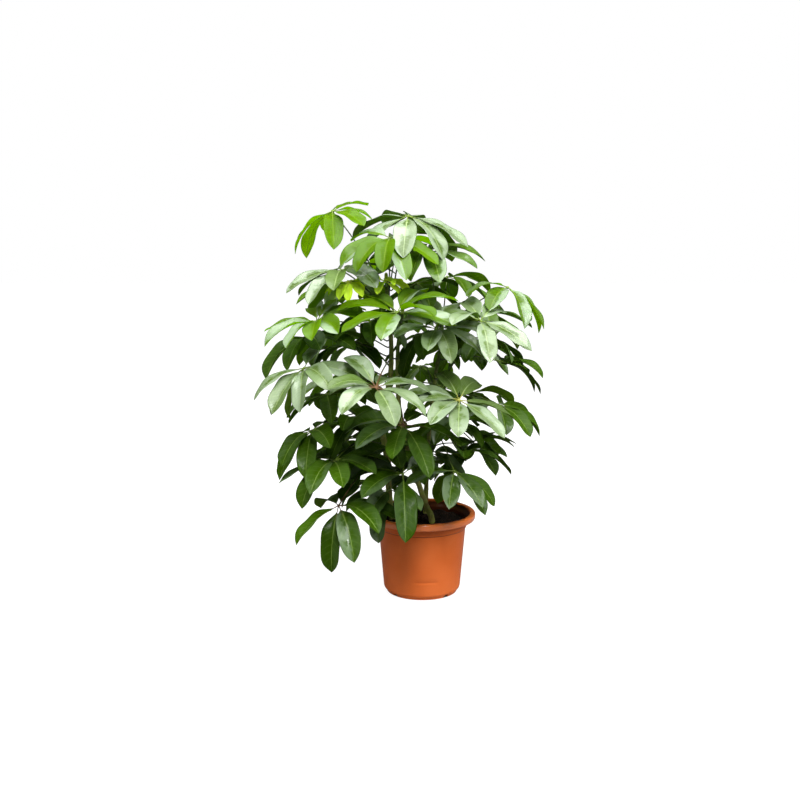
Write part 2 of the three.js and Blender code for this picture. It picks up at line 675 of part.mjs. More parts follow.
// The bends tried for a stalk, and the changes of [turn, droop] and of length tried for a leaflet
const STALK_BOWS = [0, 0.08, -0.08, 0.16, -0.16, 0.25, -0.25]
  .flatMap((sideways) => [0, 0.1, -0.1, 0.2].map((upwards) => [sideways, upwards]))
  .sort((p, q) => Math.hypot(...p) - Math.hypot(...q));
const LEAFLET_NUDGES = [0, 6, -6, 12, -12, 18, -18, 24, -24]
  .flatMap((turn) => [0, 6, -6, 12, -12, 20, -20, 30].map((droop) => [turn, droop]))
  .sort((p, q) => Math.hypot(...p) - Math.hypot(...q));
const LENGTHS = [1, 0.86, 0.72];

// Leaf stalks, laid one by one, each bowed until it crosses nothing laid before
function layStalks(stems, laid) {
  return Object.entries(LEAVES).map(([name, [stemName, height, hubPlace]]) => {
    const hub = new THREE.Vector3(...hubPlace);
    const clear = STALK_BOWS.find((bow) => {
      const path = stalkPath(stems[stemName], height, hub, bow).slice(1);
      const test = obstacle(stalkMesh(path, LEAF_AIR));
      return !laid.some((other) => cross(test, other));
    });
    const path = stalkPath(stems[stemName], height, hub, clear ?? [0, 0]);
    if (!clear) {
      console.warn(`stalk of ${name} crosses something`);
    }
    laid.push(obstacle(stalkMesh(path), name));
    const hubWidth = 2 * (HUB_RADIUS + LEAF_AIR);
    const hubBox = new THREE.BoxGeometry(hubWidth, hubWidth, 2 * (HUB_LIFT + LEAF_AIR));
    hubBox.translate(...hubPlace);
    laid.push(obstacle(fromGeometry(hubBox), name));
    const reach = hub.clone().sub(path[0]);
    const outwards = THREE.MathUtils.radToDeg(Math.atan2(reach.x, -reach.y));
    return { name, hub, outwards, stalk: stalkMesh(path), leaflets: [] };
  });
}

// The leaflet's nominal shape, with a small draw of its own. A leaf leans away from its stem, which rolls the
// leaflets on either side of it.
function leafletShape(length, outwards, [turn, droop, share = 1], seed) {
  const lean = LEAF_LEAN * Math.sin(THREE.MathUtils.degToRad(turn - outwards));
  return {
    turn,
    droop,
    length: length * share,
    curl: LEAFLET_CURL + LEAFLET_CURL_SPREAD * draw(seed),
    roll: lean + LEAFLET_ROLL_SPREAD * draw(seed + 0.5),
  };
}

// Leaflets, laid one by one, each turned, lifted or lowered until its blade crosses nothing laid before
function layLeaflets(leaf, length, directions, laid) {
  const others = laid.filter((other) => other.owner !== leaf.name);
  const own = laid.filter((other) => other.owner === leaf.name);
  directions.forEach((direction, i) => {
    const nominal = leafletShape(length, leaf.outwards, direction, leaf.hub.z + i);
    const shapes = LENGTHS.flatMap((share) => LEAFLET_NUDGES.map(([turn, droop]) => ({
      ...nominal,
      turn: wrap(nominal.turn + turn),
      droop: nominal.droop + droop,
      length: nominal.length * share,
    })));
    const clear = shapes.find((shape) => {
      const sections = [ROOT_SECTION, ...SECTIONS];
      const swollen = (air, along) => obstacle(closed(leafletRings(leaf.hub, shape, air, along)));
      const whole = [swollen(0, sections), swollen(LEAF_AIR, sections)];
      const blade = swollen(LEAF_AIR);
      return leaf.leaflets.every((other) => Math.abs(wrap(other.turn - shape.turn)) > LEAFLET_TURN_GAP)
        && blade.box.min.z > LOWEST_LEAF
        && !whole.some((body) => others.some((other) => cross(body, other)))
        && !own.some((other) => cross(blade, other));
    });
    if (!clear) {
      console.warn(`leaflet ${i} of ${leaf.name} left out`);
      return;
    }
    const rings = leafletRings(leaf.hub, clear);
    own.push(obstacle(closed(rings)));
    leaf.leaflets.push({ turn: clear.turn, rings });
  });
  laid.push(obstacle(umbrella(leaf.hub, leaf.leaflets)));
}

// An angle brought between -180 and 180
function wrap(angle) {
  return ((((angle + 180) % 360) + 360) % 360) - 180;
}

function makeLeaf(leaf) {
  return toSolid(umbrella(leaf.hub, leaf.leaflets)).add(toSolid(leaf.stalk));
}

function addPart(group, name, solid, [colour, roughness]) {
  const material = new THREE.MeshStandardMaterial({ color: colour, roughness, metalness: 0 });
  const mesh = new THREE.Mesh(toGeometry(solid), material);
  mesh.name = name;
  group.add(mesh);
}

function makePlant() {
  const plant = new THREE.Group();
  const stems = Object.fromEntries(Object.entries(STEMS).map(([name, stem]) => [name, traceStem(stem)]));
  const pot = makePot();
  const soil = makeSoil(stems);
  addPart(plant, 'pot', pot, TONES.pot);
  addPart(plant, 'soil', soil, TONES.soil);
  const laid = [pot, soil].map((solid) => obstacle(fromGeometry(toGeometry(solid))));
  for (const [name, stem] of Object.entries(stems)) {
    addPart(plant, `stem_${name}`, toSolid(stemMesh(stem)), TONES.stem);
    laid.push(obstacle(stemMesh(stem)));
  }
  const leaves = layStalks(stems, laid);
  for (const leaf of leaves) {
    const [, , , length, directions] = LEAVES[leaf.name];
    layLeaflets(leaf, length, directions, laid);
    const tone = leaf.name.startsWith('young') ? TONES.young : TONES.leaf;
    addPart(plant, `leaf_${leaf.name}`, makeLeaf(leaf), tone);
  }
  return plant;
}

export default makePlant();
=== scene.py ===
# The looks of a potted umbrella plant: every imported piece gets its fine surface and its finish.
# Metres, +Z up, seen from -Y. The leaves, stems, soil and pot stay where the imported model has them.

import math
from collections import namedtuple

import bmesh
import bpy
import numpy as np
from mathutils import Matrix, Vector


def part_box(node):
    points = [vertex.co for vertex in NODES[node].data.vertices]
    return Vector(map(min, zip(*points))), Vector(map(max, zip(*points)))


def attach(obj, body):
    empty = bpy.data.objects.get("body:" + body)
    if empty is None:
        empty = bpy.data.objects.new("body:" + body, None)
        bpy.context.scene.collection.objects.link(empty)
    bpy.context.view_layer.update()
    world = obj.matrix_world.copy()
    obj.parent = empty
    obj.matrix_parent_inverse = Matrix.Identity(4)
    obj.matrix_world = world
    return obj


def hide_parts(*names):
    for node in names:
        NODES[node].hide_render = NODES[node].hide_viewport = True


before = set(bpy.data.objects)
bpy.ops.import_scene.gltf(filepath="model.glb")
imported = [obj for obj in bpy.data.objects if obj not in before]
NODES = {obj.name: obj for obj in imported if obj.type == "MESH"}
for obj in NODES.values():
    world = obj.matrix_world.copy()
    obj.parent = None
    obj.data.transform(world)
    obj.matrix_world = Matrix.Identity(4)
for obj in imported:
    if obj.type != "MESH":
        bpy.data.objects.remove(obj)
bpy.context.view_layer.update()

# Camera and stage
CAMERA_PLACE = (-0.056, -2.7, 0.93)
CAMERA_DOWN = math.radians(9.25)
CAMERA_LENS_MM = 49.3
CAMERA_SENSOR_MM = 36.0
FLOOR_SIZE = 14.0

# Pot: radii of its turned profile and heights above the floor
POT_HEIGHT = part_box("pot")[1].z
RIM_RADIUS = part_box("pot")[1].x
RIM_DEPTH = 0.017
LIP_RADIUS = RIM_RADIUS - 0.014
LIP_DEPTH = 0.009
BAND_RADIUS = RIM_RADIUS - 0.021
BAND_DEPTH = 0.019
BODY_TOP_RADIUS = BAND_RADIUS - 0.0035
BODY_FOOT_RADIUS = BODY_TOP_RADIUS - 0.0135
HEEL_HEIGHT = 0.008
FOOT_RADIUS = BODY_FOOT_RADIUS - 0.007
FOOT_HEIGHT = 0.005
FOOT_RING_WIDTH = 0.008
PAD_RADIUS = 0.028
EDGE_ROUNDING = 0.0006
POT_WALL = 0.0028
POT_FLOOR_TOP = 0.009
POT_FLOOR_ROUNDING = 0.006
POT_SIDES = 144
NOTCH_LENGTH = 0.024
NOTCH_WIDTH = 0.013
NOTCH_HEIGHT = 0.008
NOTCH_COUNT = 4
NOTCH_FIRST_ANGLE = math.radians(41)
DRAIN_RADIUS = 0.006
DRAIN_RING_RADIUS = 0.058
DRAIN_COUNT = 6
DRAIN_SIDES = 24
GROOVE_FOOT = 0.043
GROOVE_TOP = 0.051
GROOVE_ANGLE = math.radians(275)
GROOVE_SPAN = math.radians(38)
GROOVE_DEPTH = 0.0011
GROOVE_ROWS = 8
LONG_WALL = 0.1
WALL_ROWS = 14
ARC_POINTS = 5
SHARP_ANGLE = math.radians(40)

# Pot colours, and shares in which they are mixed
POT_ORANGE = (0.46, 0.1, 0.021)
POT_DEEP = (0.42, 0.084, 0.015)
POT_DUST = (0.46, 0.13, 0.03)
POT_DUST_SHARE = 0.35
POT_DUST_HEIGHT = 0.05
POT_DUST_GRAIN = (0.35, 0.7)
# Painted light: the rim is coloured lighter than the body, standing for the light that falls on its top
POT_RIM_PAINTED_LIGHT = (0.66, 0.17, 0.035)
POT_RIM_LIGHT_SHARE = 0.6
POT_RIM_EDGE = 0.003
# Painted shade: thin dark lines of colour just under the rim and under the band, where their overhangs shade
# the wall
POT_PAINTED_SHADE = (0.1, 0.02, 0.004)
POT_PAINTED_SHADE_SHARE = 0.75
POT_PAINTED_SHADE_EDGE = (0.0006, 0.0022)
POT_PAINTED_SHADE_LINES = (POT_HEIGHT - RIM_DEPTH - 0.0016, POT_HEIGHT - RIM_DEPTH - BAND_DEPTH - 0.0012)
# Painted shade: the pot's inner wall is coloured nearly black from just under its top, standing for the shade
# inside the pot
POT_INSIDE_SHADE = (0.02, 0.005, 0.002)
POT_INSIDE_SHADE_SHARE = 0.94
POT_INSIDE_SHADE_EDGE = (POT_HEIGHT - 0.008, POT_HEIGHT - 0.001)
POT_INSIDE_SHADE_WAVE = 0.008
POT_ROUGHNESS = (0.32, 0.4)

# Soil
SOIL_TOP = 0.181
SOIL_LUMP = 0.0022
SOIL_GAP = 0.0004
SOIL_SPREAD = 0.0012
SOIL_SHOULDER = 0.004
SOIL_SIDES = 96
SOIL_RINGS = 34
SOIL_ROUGHENING = (-0.0012, 0.0016)
CRUMB_SQUASH = (1.0, 0.75, 0.6)
SOIL_BLACK = (0.003, 0.002, 0.001)
SOIL_BROWN = (0.015, 0.007, 0.003)
SOIL_GRIT = (0.08, 0.04, 0.02)
SOIL_GRIT_SHARE = 0.6
SOIL_GRIT_REACH = (0.9, 0.97)
SOIL_ROUGHNESS = (0.75, 0.95)

# Stems
STEM_SIDES = 7
STEM_RING_STEP = 0.0015
STEM_CORNERS = 16
STEM_LEAST = 0.98
STEM_CROWN = [(0.0, 1.0), (0.985, 1.0), (0.995, 0.8), (1.0, 0.35)]
KNUCKLE = [(0.0, 0.1), (0.08, 0.75), (0.16, 1.0), (0.26, 0.7), (0.5, 0.2), (1.0, 0.1)]
KNUCKLE_SWAY = 1.3
BARK_BROWN = (0.17, 0.15, 0.03)
BARK_GREEN = (0.2, 0.25, 0.03)
BARK_YOUNG = (0.06, 0.12, 0.01)
BARK_YOUNG_SHARE = 0.85
BARK_YOUNG_REACH = (0.45, 0.95)
BARK_SCAR = (0.2, 0.2, 0.07)
BARK_SCAR_SHARE = 0.45
BARK_SCAR_REACH = (0.55, 1.0)
BARK_BUD = (0.42, 0.56, 0.02)
BARK_BUD_REACH = (0.966, 0.978)
BARK_DARK = (0.02, 0.018, 0.006)
BARK_DARK_SHARE = 0.5
BARK_DARK_REACH = (0.6, 0.85)
BARK_ROUGHNESS = (0.55, 0.8)

# Leaves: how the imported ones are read
UP = np.array([0.0, 0.0, 1.0])
WELD = 1e-6
RING_SPAN = 0.007
LEAF_AWAY = 0.012
LEAFLET_RINGS = 4
RING_CORNERS = 3
BLADE, RIB, STALK = 0, 1, 2

# Leaves: how they are grown; each curve is a list of (place, value)
LEAF_SEED = 11
LEAF_GROW = 1.02
BLADE_START = 0.6
BLADE_CORNERS = 16
RIB_CORNERS = 6
STALK_CORNERS = 8
BLADE_OUTLINE = [
    (0.0, 0.04), (0.04, 0.17), (0.11, 0.45), (0.22, 0.77), (0.35, 0.95), (0.5, 1.0), (0.64, 0.98),
    (0.77, 0.87), (0.86, 0.69), (0.92, 0.47), (0.96, 0.26), (0.985, 0.1), (1.0, 0.01),
]
BLADE_CROWN = [(0.0, 0.0), (0.12, 0.4), (0.4, 1.0), (0.65, 0.9), (1.0, 0.0)]
RIB_TAPER = [(0.0, 1.0), (0.1, 0.8), (0.3, 0.5), (0.6, 0.32), (0.9, 0.17), (1.0, 0.07)]
RIB_SINKS = (0.12, 0.22)
STALK_TAPER = [(0.0, 1.9), (0.04, 1.75), (0.1, 1.15), (0.2, 1.0), (0.7, 0.88), (0.96, 1.0), (1.0, 1.3)]
FOLD_RANGE = (0.4, 1.7)
TWIST_RANGE = (-1.0, 1.0)
TWIST_AT_FOOT = 0.2
WAVE_STAGGER = 0.23

# A leaflet has one draw, and each of these factors gives one of its features a draw of its own
FOLD_DRAW = 3.7
TWIST_DRAW = 7.3
WAX_DRAW = 5.3
SHEEN_SIDE_DRAW = 9.1

# Leaves: which tone each one has; a leaf that is in no list is dark, and its stalk is green. The tones are
# lit and shaded copies of one leaf colour: deep and dark are painted shade for leaves in the plant's shade,
# green is a little lighter, pale and bright are painted light for leaves that catch the light, and young is
# the lime of young leaves made brighter as painted light.
YOUNG_LEAVES = ("leaf_young_left", "leaf_young_mid")
LEAF_LIGHTING_TONES = {
    "young": YOUNG_LEAVES,
    "deep": ("leaf_pot_front",),
    "bright": (
        "leaf_top_left", "leaf_upper_mid", "leaf_right_top", "leaf_back_top", "leaf_mid", "leaf_left_mid",
    ),
    "pale": (
        "leaf_top_centre", "leaf_centre_front", "leaf_right_front_low", "leaf_right_front", "leaf_left_front",
        "leaf_left_upper", "leaf_right_mid",
    ),
    "green": (
        "leaf_upper_right", "leaf_back_upper_left", "leaf_back_upper_right", "leaf_back_right_high",
        "leaf_back_mid_left", "leaf_back_mid", "leaf_back_mid_right", "leaf_back_centre", "leaf_back_left",
        "leaf_back_right",
    ),
}
STALK_TONES = {
    "young": YOUNG_LEAVES,
    "red": ("leaf_centre_front", "leaf_centre_low", "leaf_low_left_front"),
    "yellow": ("leaf_right_front_low",),
}

# Leaf colours of each tone: two for the upper side, then the rib, the underside and light shining through
Tissue = namedtuple("Tissue", "deep light rib under glow")
# The lighter and darker tones here are painted light and painted shade, not colours of different leaves
LEAF_COLOURS = {
    "deep": Tissue(
        (0.01, 0.028, 0.0), (0.024, 0.06, 0.001), (0.12, 0.2, 0.03), (0.04, 0.08, 0.002), (0.1, 0.22, 0.001)),
    "dark": Tissue(
        (0.017, 0.045, 0.0), (0.04, 0.095, 0.001), (0.17, 0.26, 0.05),
        (0.06, 0.12, 0.002), (0.14, 0.3, 0.001)),
    "green": Tissue(
        (0.03, 0.075, 0.0), (0.07, 0.145, 0.001), (0.24, 0.36, 0.06), (0.1, 0.18, 0.003), (0.22, 0.4, 0.001)),
    "pale": Tissue(
        (0.045, 0.09, 0.004), (0.10, 0.16, 0.03), (0.3, 0.4, 0.16), (0.11, 0.19, 0.006), (0.24, 0.42, 0.002)),
    "bright": Tissue(
        (0.07, 0.14, 0.0), (0.11, 0.21, 0.001), (0.24, 0.36, 0.03), (0.2, 0.33, 0.001), (0.42, 0.66, 0.001)),
    "young": Tissue(
        (0.56, 0.84, 0.02), (0.72, 0.95, 0.06), (0.75, 0.92, 0.2), (0.56, 0.8, 0.02), (0.84, 1.0, 0.02)),
}
GLOW_LEAST = 0.75

# Leaf wax and painted sheen, for each tone: light let through, coat weight, specular level, strength of the
# painted sheen, share of waxy leaflets, and the painted sheen on the other half of a leaflet. The painted
# sheen is a painted reflection: a pale whitish colour on the upper side where gloss would reflect the light.
Wax = namedtuple("Wax", "through coat gloss bloom share other_side")
LEAF_WAX = {
    "deep": Wax(0.2, 0.6, 0.05, 0.34, 0.7, 0.0),
    "dark": Wax(0.25, 0.6, 0.05, 0.18, 0.25, 0.2),
    "green": Wax(0.3, 0.8, 0.08, 0.3, 0.35, 0.2),
    "pale": Wax(0.3, 0.75, 0.3, 0.44, 0.82, 0.5),
    "bright": Wax(0.55, 0.9, 0.05, 0.65, 0.42, 0.05),
    "young": Wax(0.5, 0.5, 0.1, 0.4, 0.3, 0.2),
}
# Painted reflection: the whitish colour of the painted sheen, standing for gloss that reflects the light
LEAF_PAINTED_SHEEN = (0.46, 0.56, 0.42)
STALK_COLOURS = {
    "green": ((0.03, 0.05, 0.006), (0.11, 0.17, 0.02)),
    "red": ((0.04, 0.045, 0.008), (0.14, 0.07, 0.03)),
    "yellow": ((0.05, 0.08, 0.01), (0.26, 0.26, 0.05)),
    "young": ((0.12, 0.2, 0.01), (0.34, 0.42, 0.03)),
}
STALK_HEAD_REACH = (0.55, 0.98)
STALK_SPECKLE = 0.2
STALK_ROUGHNESS = (0.34, 0.5)

# Leaflet pattern, in shares of the leaflet's length and of its half width
RIB_HALF_WIDTH = 0.027
RIB_FOOT_WIDTH = 0.2
RIB_FOOT_FADE = 7.0
RIB_EDGE = (0.55, 1.7)
VEIN_STAGGER = 0.25
VEIN_LEAN = 0.13
VEIN_BEND = 1.25
VEIN_LINE = (0.02, 0.13)
VEIN_FADE = (0.55, 0.98)
VEIN_SWELL = 0.6
RIB_GROOVE = 0.7
WAX_LEAST = 0.12
WAX_SPREAD = 0.1
# The painted sheen's mask: its patches, and the half of a leaflet that gets more of it
SHEEN_PATCHES = 1.1
SHEEN_EDGE = (-0.1, 0.35)
SHEEN_LEAST = 0.1
SHEEN_HALF_EDGE = 0.04

# Leaf finish: shares in which its colours are mixed, and its surface
TINT_BY_DRAW = 0.6
TINT_BY_BLOTCH = 0.4
VEIN_SHARE = 0.15
RIB_SHARE = 0.85
UNDER_SHARE = 0.65
LEAF_COAT_REACH = (0.1, 0.7)
LEAF_COAT_LEAST = 0.5
LEAF_ROUGHNESS = (0.3, 0.42)
UNDER_ROUGHNESS = 0.35
QUILT_HEIGHT = 1.1
VEIN_HEIGHT = 0.9

# Light; each lamp has a place, a size, a power, and whether it shows in what is glossy
LIGHT_TARGET = Vector((0, 0, 0.55))
LAMPS = {
    "key": ((2.2, -1.8, 2.2), 1.5, 100, True),
    "top": ((0.0, -0.8, 4.2), 5.5, 560, True),
    "front": ((0.0, -2.6, 2.6), 0.8, 72, True),
    "fill": ((-2.4, -1.8, 1.0), 1.2, 14, False),
    "back": ((-1.3, 1.9, 2.2), 1.4, 90, False),
}
SKY_LOW = 0.08
SKY_HIGH = 0.42
SKY_LEAN = 0.1
SKY_REACH = (-0.1, 0.9)
SKY_IN_GLOSS = 0.15
FLOOR_WHITE = (0.9, 0.9, 0.9)
FLOOR_DARK = (0.12, 0.12, 0.12)
FLOOR_NEAR = 0.4
FLOOR_NEAR_REACH = (0.1, 0.35)
FLOOR_SHINE = 0.24
FLOOR_LIFT = 0.92
FLOOR_LIFT_REACH = (0.3, 1.5)
FLOOR_FOOT_EDGE = (FOOT_RADIUS - 0.004, FOOT_RADIUS + 0.001)

# The span in which most of a noise lies, and the sockets that a tree's input can be by its value
NOISE_SPAN = (0.3, 0.7)
SOCKET_TYPES = {int: "NodeSocketInt", float: "NodeSocketFloat"}


def link(obj):
    """The object, put into the scene"""
    bpy.context.scene.collection.objects.link(obj)
    return obj


def mesh_object(name, vertices, faces, edges=()):
    mesh = bpy.data.meshes.new(name)
    mesh.from_pydata([tuple(v) for v in vertices], list(edges), list(faces))
    mesh.update()
    return link(bpy.data.objects.new(name, mesh))


def shade_smooth(obj):
    obj.data.polygons.foreach_set("use_smooth", [True] * len(obj.data.polygons))


def evaluated_mesh(obj):
    """A plain mesh of the object with its modifiers worked out"""
    bpy.context.view_layer.update()
    return bpy.data.meshes.new_from_object(obj.evaluated_get(bpy.context.evaluated_depsgraph_get()))


class Value:
    """An output of a node; sums and products with it add the nodes that work them out"""

    def __init__(self, nodes, socket):
        self.nodes, self.socket = nodes, socket

    def __add__(self, other):
        return self.nodes.math("ADD", self, other)

    def __sub__(self, other):
        return self.nodes.math("SUBTRACT", self, other)

    def __rsub__(self, other):
        return self.nodes.math("SUBTRACT", other, self)

    def __mul__(self, other):
        return self.nodes.math("MULTIPLY", self, other)

    def __truediv__(self, other):
        return self.nodes.math("DIVIDE", self, other)

    def __abs__(self):
        return self.nodes.math("ABSOLUTE", self)


class Nodes:
    """Adds nodes to one tree and feeds their sockets"""

    def __init__(self, tree):
        self.tree = tree

    def feed(self, socket, value):
        if isinstance(value, Value):
            self.tree.links.new(value.socket, socket)
        else:
            socket.default_value = value

    def add(self, kind, inputs=None, **settings):
        """A new node with its settings and its named inputs"""
        node = self.tree.nodes.new(kind)
        for name, value in settings.items():
            setattr(node, name, value)
        for name, value in (inputs or {}).items():
            self.feed(node.inputs[name], value)
        return node

    def out(self, kind, inputs=None, **settings):
        """The first output of a new node"""
        return Value(self, self.add(kind, inputs, **settings).outputs[0])

    def outputs(self, kind, inputs=None, **settings):
        """The outputs of a new node by their names"""
        return {socket.name: Value(self, socket) for socket in self.add(kind, inputs, **settings).outputs}

    def parts(self, vector):
        """The three numbers of a vector"""
        return self.outputs("ShaderNodeSeparateXYZ", {"Vector": vector}).values()

    def math(self, operation, *values, kind="ShaderNodeMath"):
        return self.out(kind, dict(enumerate(values)), operation=operation)

    def vector(self, operation, *values):
        return self.math(operation, *values, kind="ShaderNodeVectorMath")

    def scaled(self, vector, amount):
        return self.out("ShaderNodeVectorMath", {0: vector, "Scale": amount}, operation="SCALE")

    def own_draw(self, draw, factor):
        """A draw of its own for one feature, from 0 to 1"""
        return self.math("FRACT", draw * factor)

    def ramp(self, value, low, high, start=0.0, end=1.0, smooth=True):
        """The value's way from low to high, as a number from start to end"""
        inputs = dict(enumerate((value, low, high, start, end)))
        return self.out("ShaderNodeMapRange", inputs, interpolation_type="SMOOTHSTEP" if smooth else "LINEAR")

    def spread(self, share, low, high):
        """The value that lies at a share of the way from low to high"""
        return self.ramp(share, 0.0, 1.0, low, high, smooth=False)

    def curve(self, value, points):
        """A smooth curve through the points, read at the value"""
        node = self.add("ShaderNodeFloatCurve", {"Value": value})
        line = node.mapping.curves[0]
        for place, height in points[1:-1]:
            line.points.new(place, height)
        line.points[0].location = points[0]
        line.points[-1].location = points[-1]
        node.mapping.update()
        return Value(self, node.outputs[0])

    def attribute(self, name, data_type="FLOAT"):
        return self.out("GeometryNodeInputNamedAttribute", {"Name": name}, data_type=data_type)

    def vector_attribute(self, name):
        return self.attribute(name, "FLOAT_VECTOR")

    def store(self, geometry, name, value, data_type="FLOAT"):
        """The geometry with the value kept at its points under a name"""
        inputs = {"Geometry": geometry, "Name": name, "Value": value}
        return self.out("GeometryNodeStoreNamedAttribute", inputs, data_type=data_type, domain="POINT")

    def join(self, geometries):
        node = self.add("GeometryNodeJoinGeometry")
        for geometry in geometries:
            self.feed(node.inputs[0], geometry)
        return Value(self, node.outputs[0])

    def mixed(self, amount, first, second):
        """One colour turning into another by a mask"""
        node = self.add("ShaderNodeMix", {0: amount}, data_type="RGBA")
        colours = [socket for socket in node.inputs if socket.type == "RGBA"]
        for socket, value in zip(colours, (first, second)):
            self.feed(socket, value if isinstance(value, Value) else (*value, 1.0))
        return Value(self, next(socket for socket in node.outputs if socket.type == "RGBA"))

    def layers(self, colour, *coats):
        """A colour under coats, each a mask and its colour"""
        for mask, coat in coats:
            colour = self.mixed(mask, colour, coat)
        return colour

    def noise(self, place, scale, detail):
        return self.out("ShaderNodeTexNoise", {"Vector": place, "Scale": scale, "Detail": detail})

    def object_place(self):
        return self.outputs("ShaderNodeTexCoord")["Object"]

    def surface_value(self, name):
        """A named value of the piece, read by its material"""
        return self.outputs("ShaderNodeAttribute", attribute_name=name)["Fac"]


def new_tree(name, kind, inputs, outputs):
    """A node group's tree, its nodes, and the sockets of its inputs and outputs.
    An input is given as its value, or as the name of its type where it has none."""
    tree = bpy.data.node_groups.new(name, kind)
    for label, value in inputs.items():
        socket_type = SOCKET_TYPES.get(type(value), f"NodeSocket{value}")
        socket = tree.interface.new_socket(label, in_out="INPUT", socket_type=socket_type)
        if type(value) in SOCKET_TYPES:
            socket.default_value = value
    for label, value in outputs.items():
        tree.interface.new_socket(label, in_out="OUTPUT", socket_type=f"NodeSocket{value}")
    nodes = Nodes(tree)
    return tree, nodes, nodes.outputs("NodeGroupInput"), nodes.add("NodeGroupOutput").inputs


def grown(obj, tree, values):
    """A plain mesh object of what the tree makes from the object, which goes"""
    modifier = obj.modifiers.new(tree.name, "NODES")
    modifier.node_group = tree
    sockets = {item.name: item.identifier for item in tree.interface.items_tree if item.in_out == "INPUT"}
    for name, value in values.items():
        modifier[sockets[name]] = value
    mesh = evaluated_mesh(obj)
    name = obj.name
    obj.modifiers.remove(modifier)
    bpy.data.objects.remove(obj)
    made = bpy.data.objects.new(name, mesh)
    made.data.name = name
    return link(made)


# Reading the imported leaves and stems

def corners_of(node):
    """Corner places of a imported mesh, merged by place, and for each the corners that it is joined to"""
    mesh = NODES[node].data
    places = np.array([corner.co for corner in mesh.vertices])
    places, index = np.unique(np.round(places / WELD) * WELD, axis=0, return_inverse=True)
    index = index.ravel()
    joined = [set() for _ in places]
    for face in mesh.polygons:
        corners = [int(index[k]) for k in face.vertices]
        for corner in corners:
            joined[corner].update(corners)
    for corner, others in enumerate(joined):
        others.discard(corner)
    return places, joined


def close_groups(places, span):
    """Lists of corners that lie within the span of each other"""
    groups = []
    left = set(range(len(places)))
    while left:
        group = {left.pop()}
        grow = set(group)
        while grow:
            corner = grow.pop()
            near = {k for k in left if np.linalg.norm(places[k] - places[corner]) < span}
            left -= near
            group |= near
            grow |= near
        groups.append(sorted(group))
    return groups


def leaflet_rings(tip, joined):
    """The rings of three corners from a leaflet's tip to its stalklet, and the hub's corners after them"""
    seen = {tip}
    ring = set(joined[tip])
    rings = []
    for _ in range(LEAFLET_RINGS):
        rings.append(sorted(ring))
        seen |= ring
        ring = set().union(*(joined[corner] for corner in ring)) - seen
    return rings, ring


def unit(vector):
    return vector / np.linalg.norm(vector)


def section(places):
    """Middle, direction to the rib, and half width of a leaflet's section of three corners"""
    offsets = [places[k] - 0.5 * (places[k - 1] + places[k - 2]) for k in range(RING_CORNERS)]
    rib = int(np.argmin([np.linalg.norm(offset) for offset in offsets]))
    half = 0.5 * np.linalg.norm(places[rib - 1] - places[rib - 2])
    return places[rib] - 0.5 * offsets[rib], unit(offsets[rib]), half


def read_leaf(node):
    """The hub, the leaflets and the stalk of one packed leaf"""
    places, joined = corners_of(node)
    groups = close_groups(places, RING_SPAN)
    ringed = {corner for group in groups if len(group) == RING_CORNERS for corner in group}
    tips = [k for k in range(len(places)) if len(joined[k]) == RING_CORNERS and k not in ringed]
    leaflets = []
    roots = set()
    for tip in tips:
        rings, hub_corners = leaflet_rings(tip, joined)
        if all(len(ring) == RING_CORNERS for ring in rings):
            leaflets.append((tip, rings))
            roots |= hub_corners
    hub = places[sorted(roots)].mean(axis=0)
    taken = {corner for tip, rings in leaflets for ring in rings for corner in ring}
    stalk = [
        places[group].mean(axis=0) for group in groups
        if len(group) in (RING_CORNERS, 2 * RING_CORNERS) and not taken & set(group)
        and np.linalg.norm(places[group[0]] - hub) > LEAF_AWAY
    ]
    stalk.sort(key=lambda place: -np.linalg.norm(place - hub))
    blades = [read_blade(places, hub, tip, rings) for tip, rings in leaflets]
    return hub, blades, [*stalk, hub]


def read_blade(places, hub, tip, rings):
    """The middle line, the upward directions and the half width of one packed leaflet"""
    sections = [section(places[ring]) for ring in reversed(rings[:-1])]
    start = hub + BLADE_START * (places[rings[-1]].mean(axis=0) - hub)
    line = [start, *(middle for middle, _, _ in sections), places[tip]]
    ups = [up for _, up, _ in sections]
    half = max(half for _, _, half in sections)
    return {"line": np.array(line), "ups": [ups[0], *ups, ups[-1]], "half": half}


class Lines:
    """Lines in the making, as one mesh of edges with named values at its corners"""

    def __init__(self):
        self.places, self.edges, self.values = [], [], {}

    def add(self, places, **values):
        first = len(self.places)
        places = np.array(places)
        steps = np.linalg.norm(np.diff(places, axis=0), axis=1)
        values["share"] = np.concatenate([[0], np.cumsum(steps)]) / steps.sum()
        values["reach"] = steps.sum()
        self.places.extend(places)
        self.edges.extend((first + k, first + k + 1) for k in range(len(places) - 1))
        for name, value in values.items():
            value = np.asarray(value, float)
            if value.ndim == 0 or len(value) != len(places):
                value = np.broadcast_to(value, (len(places), *value.shape))
            self.values.setdefault(name, []).extend(value)

    def object(self, name):
        obj = mesh_object(name, self.places, (), self.edges)
        for label, values in self.values.items():
            values = np.array(values, np.float32)
            kind, field = ("FLOAT_VECTOR", "vector") if values.ndim == 2 else ("FLOAT", "value")
            obj.data.attributes.new(label, kind, "POINT").data.foreach_set(field, values.ravel())
        return obj


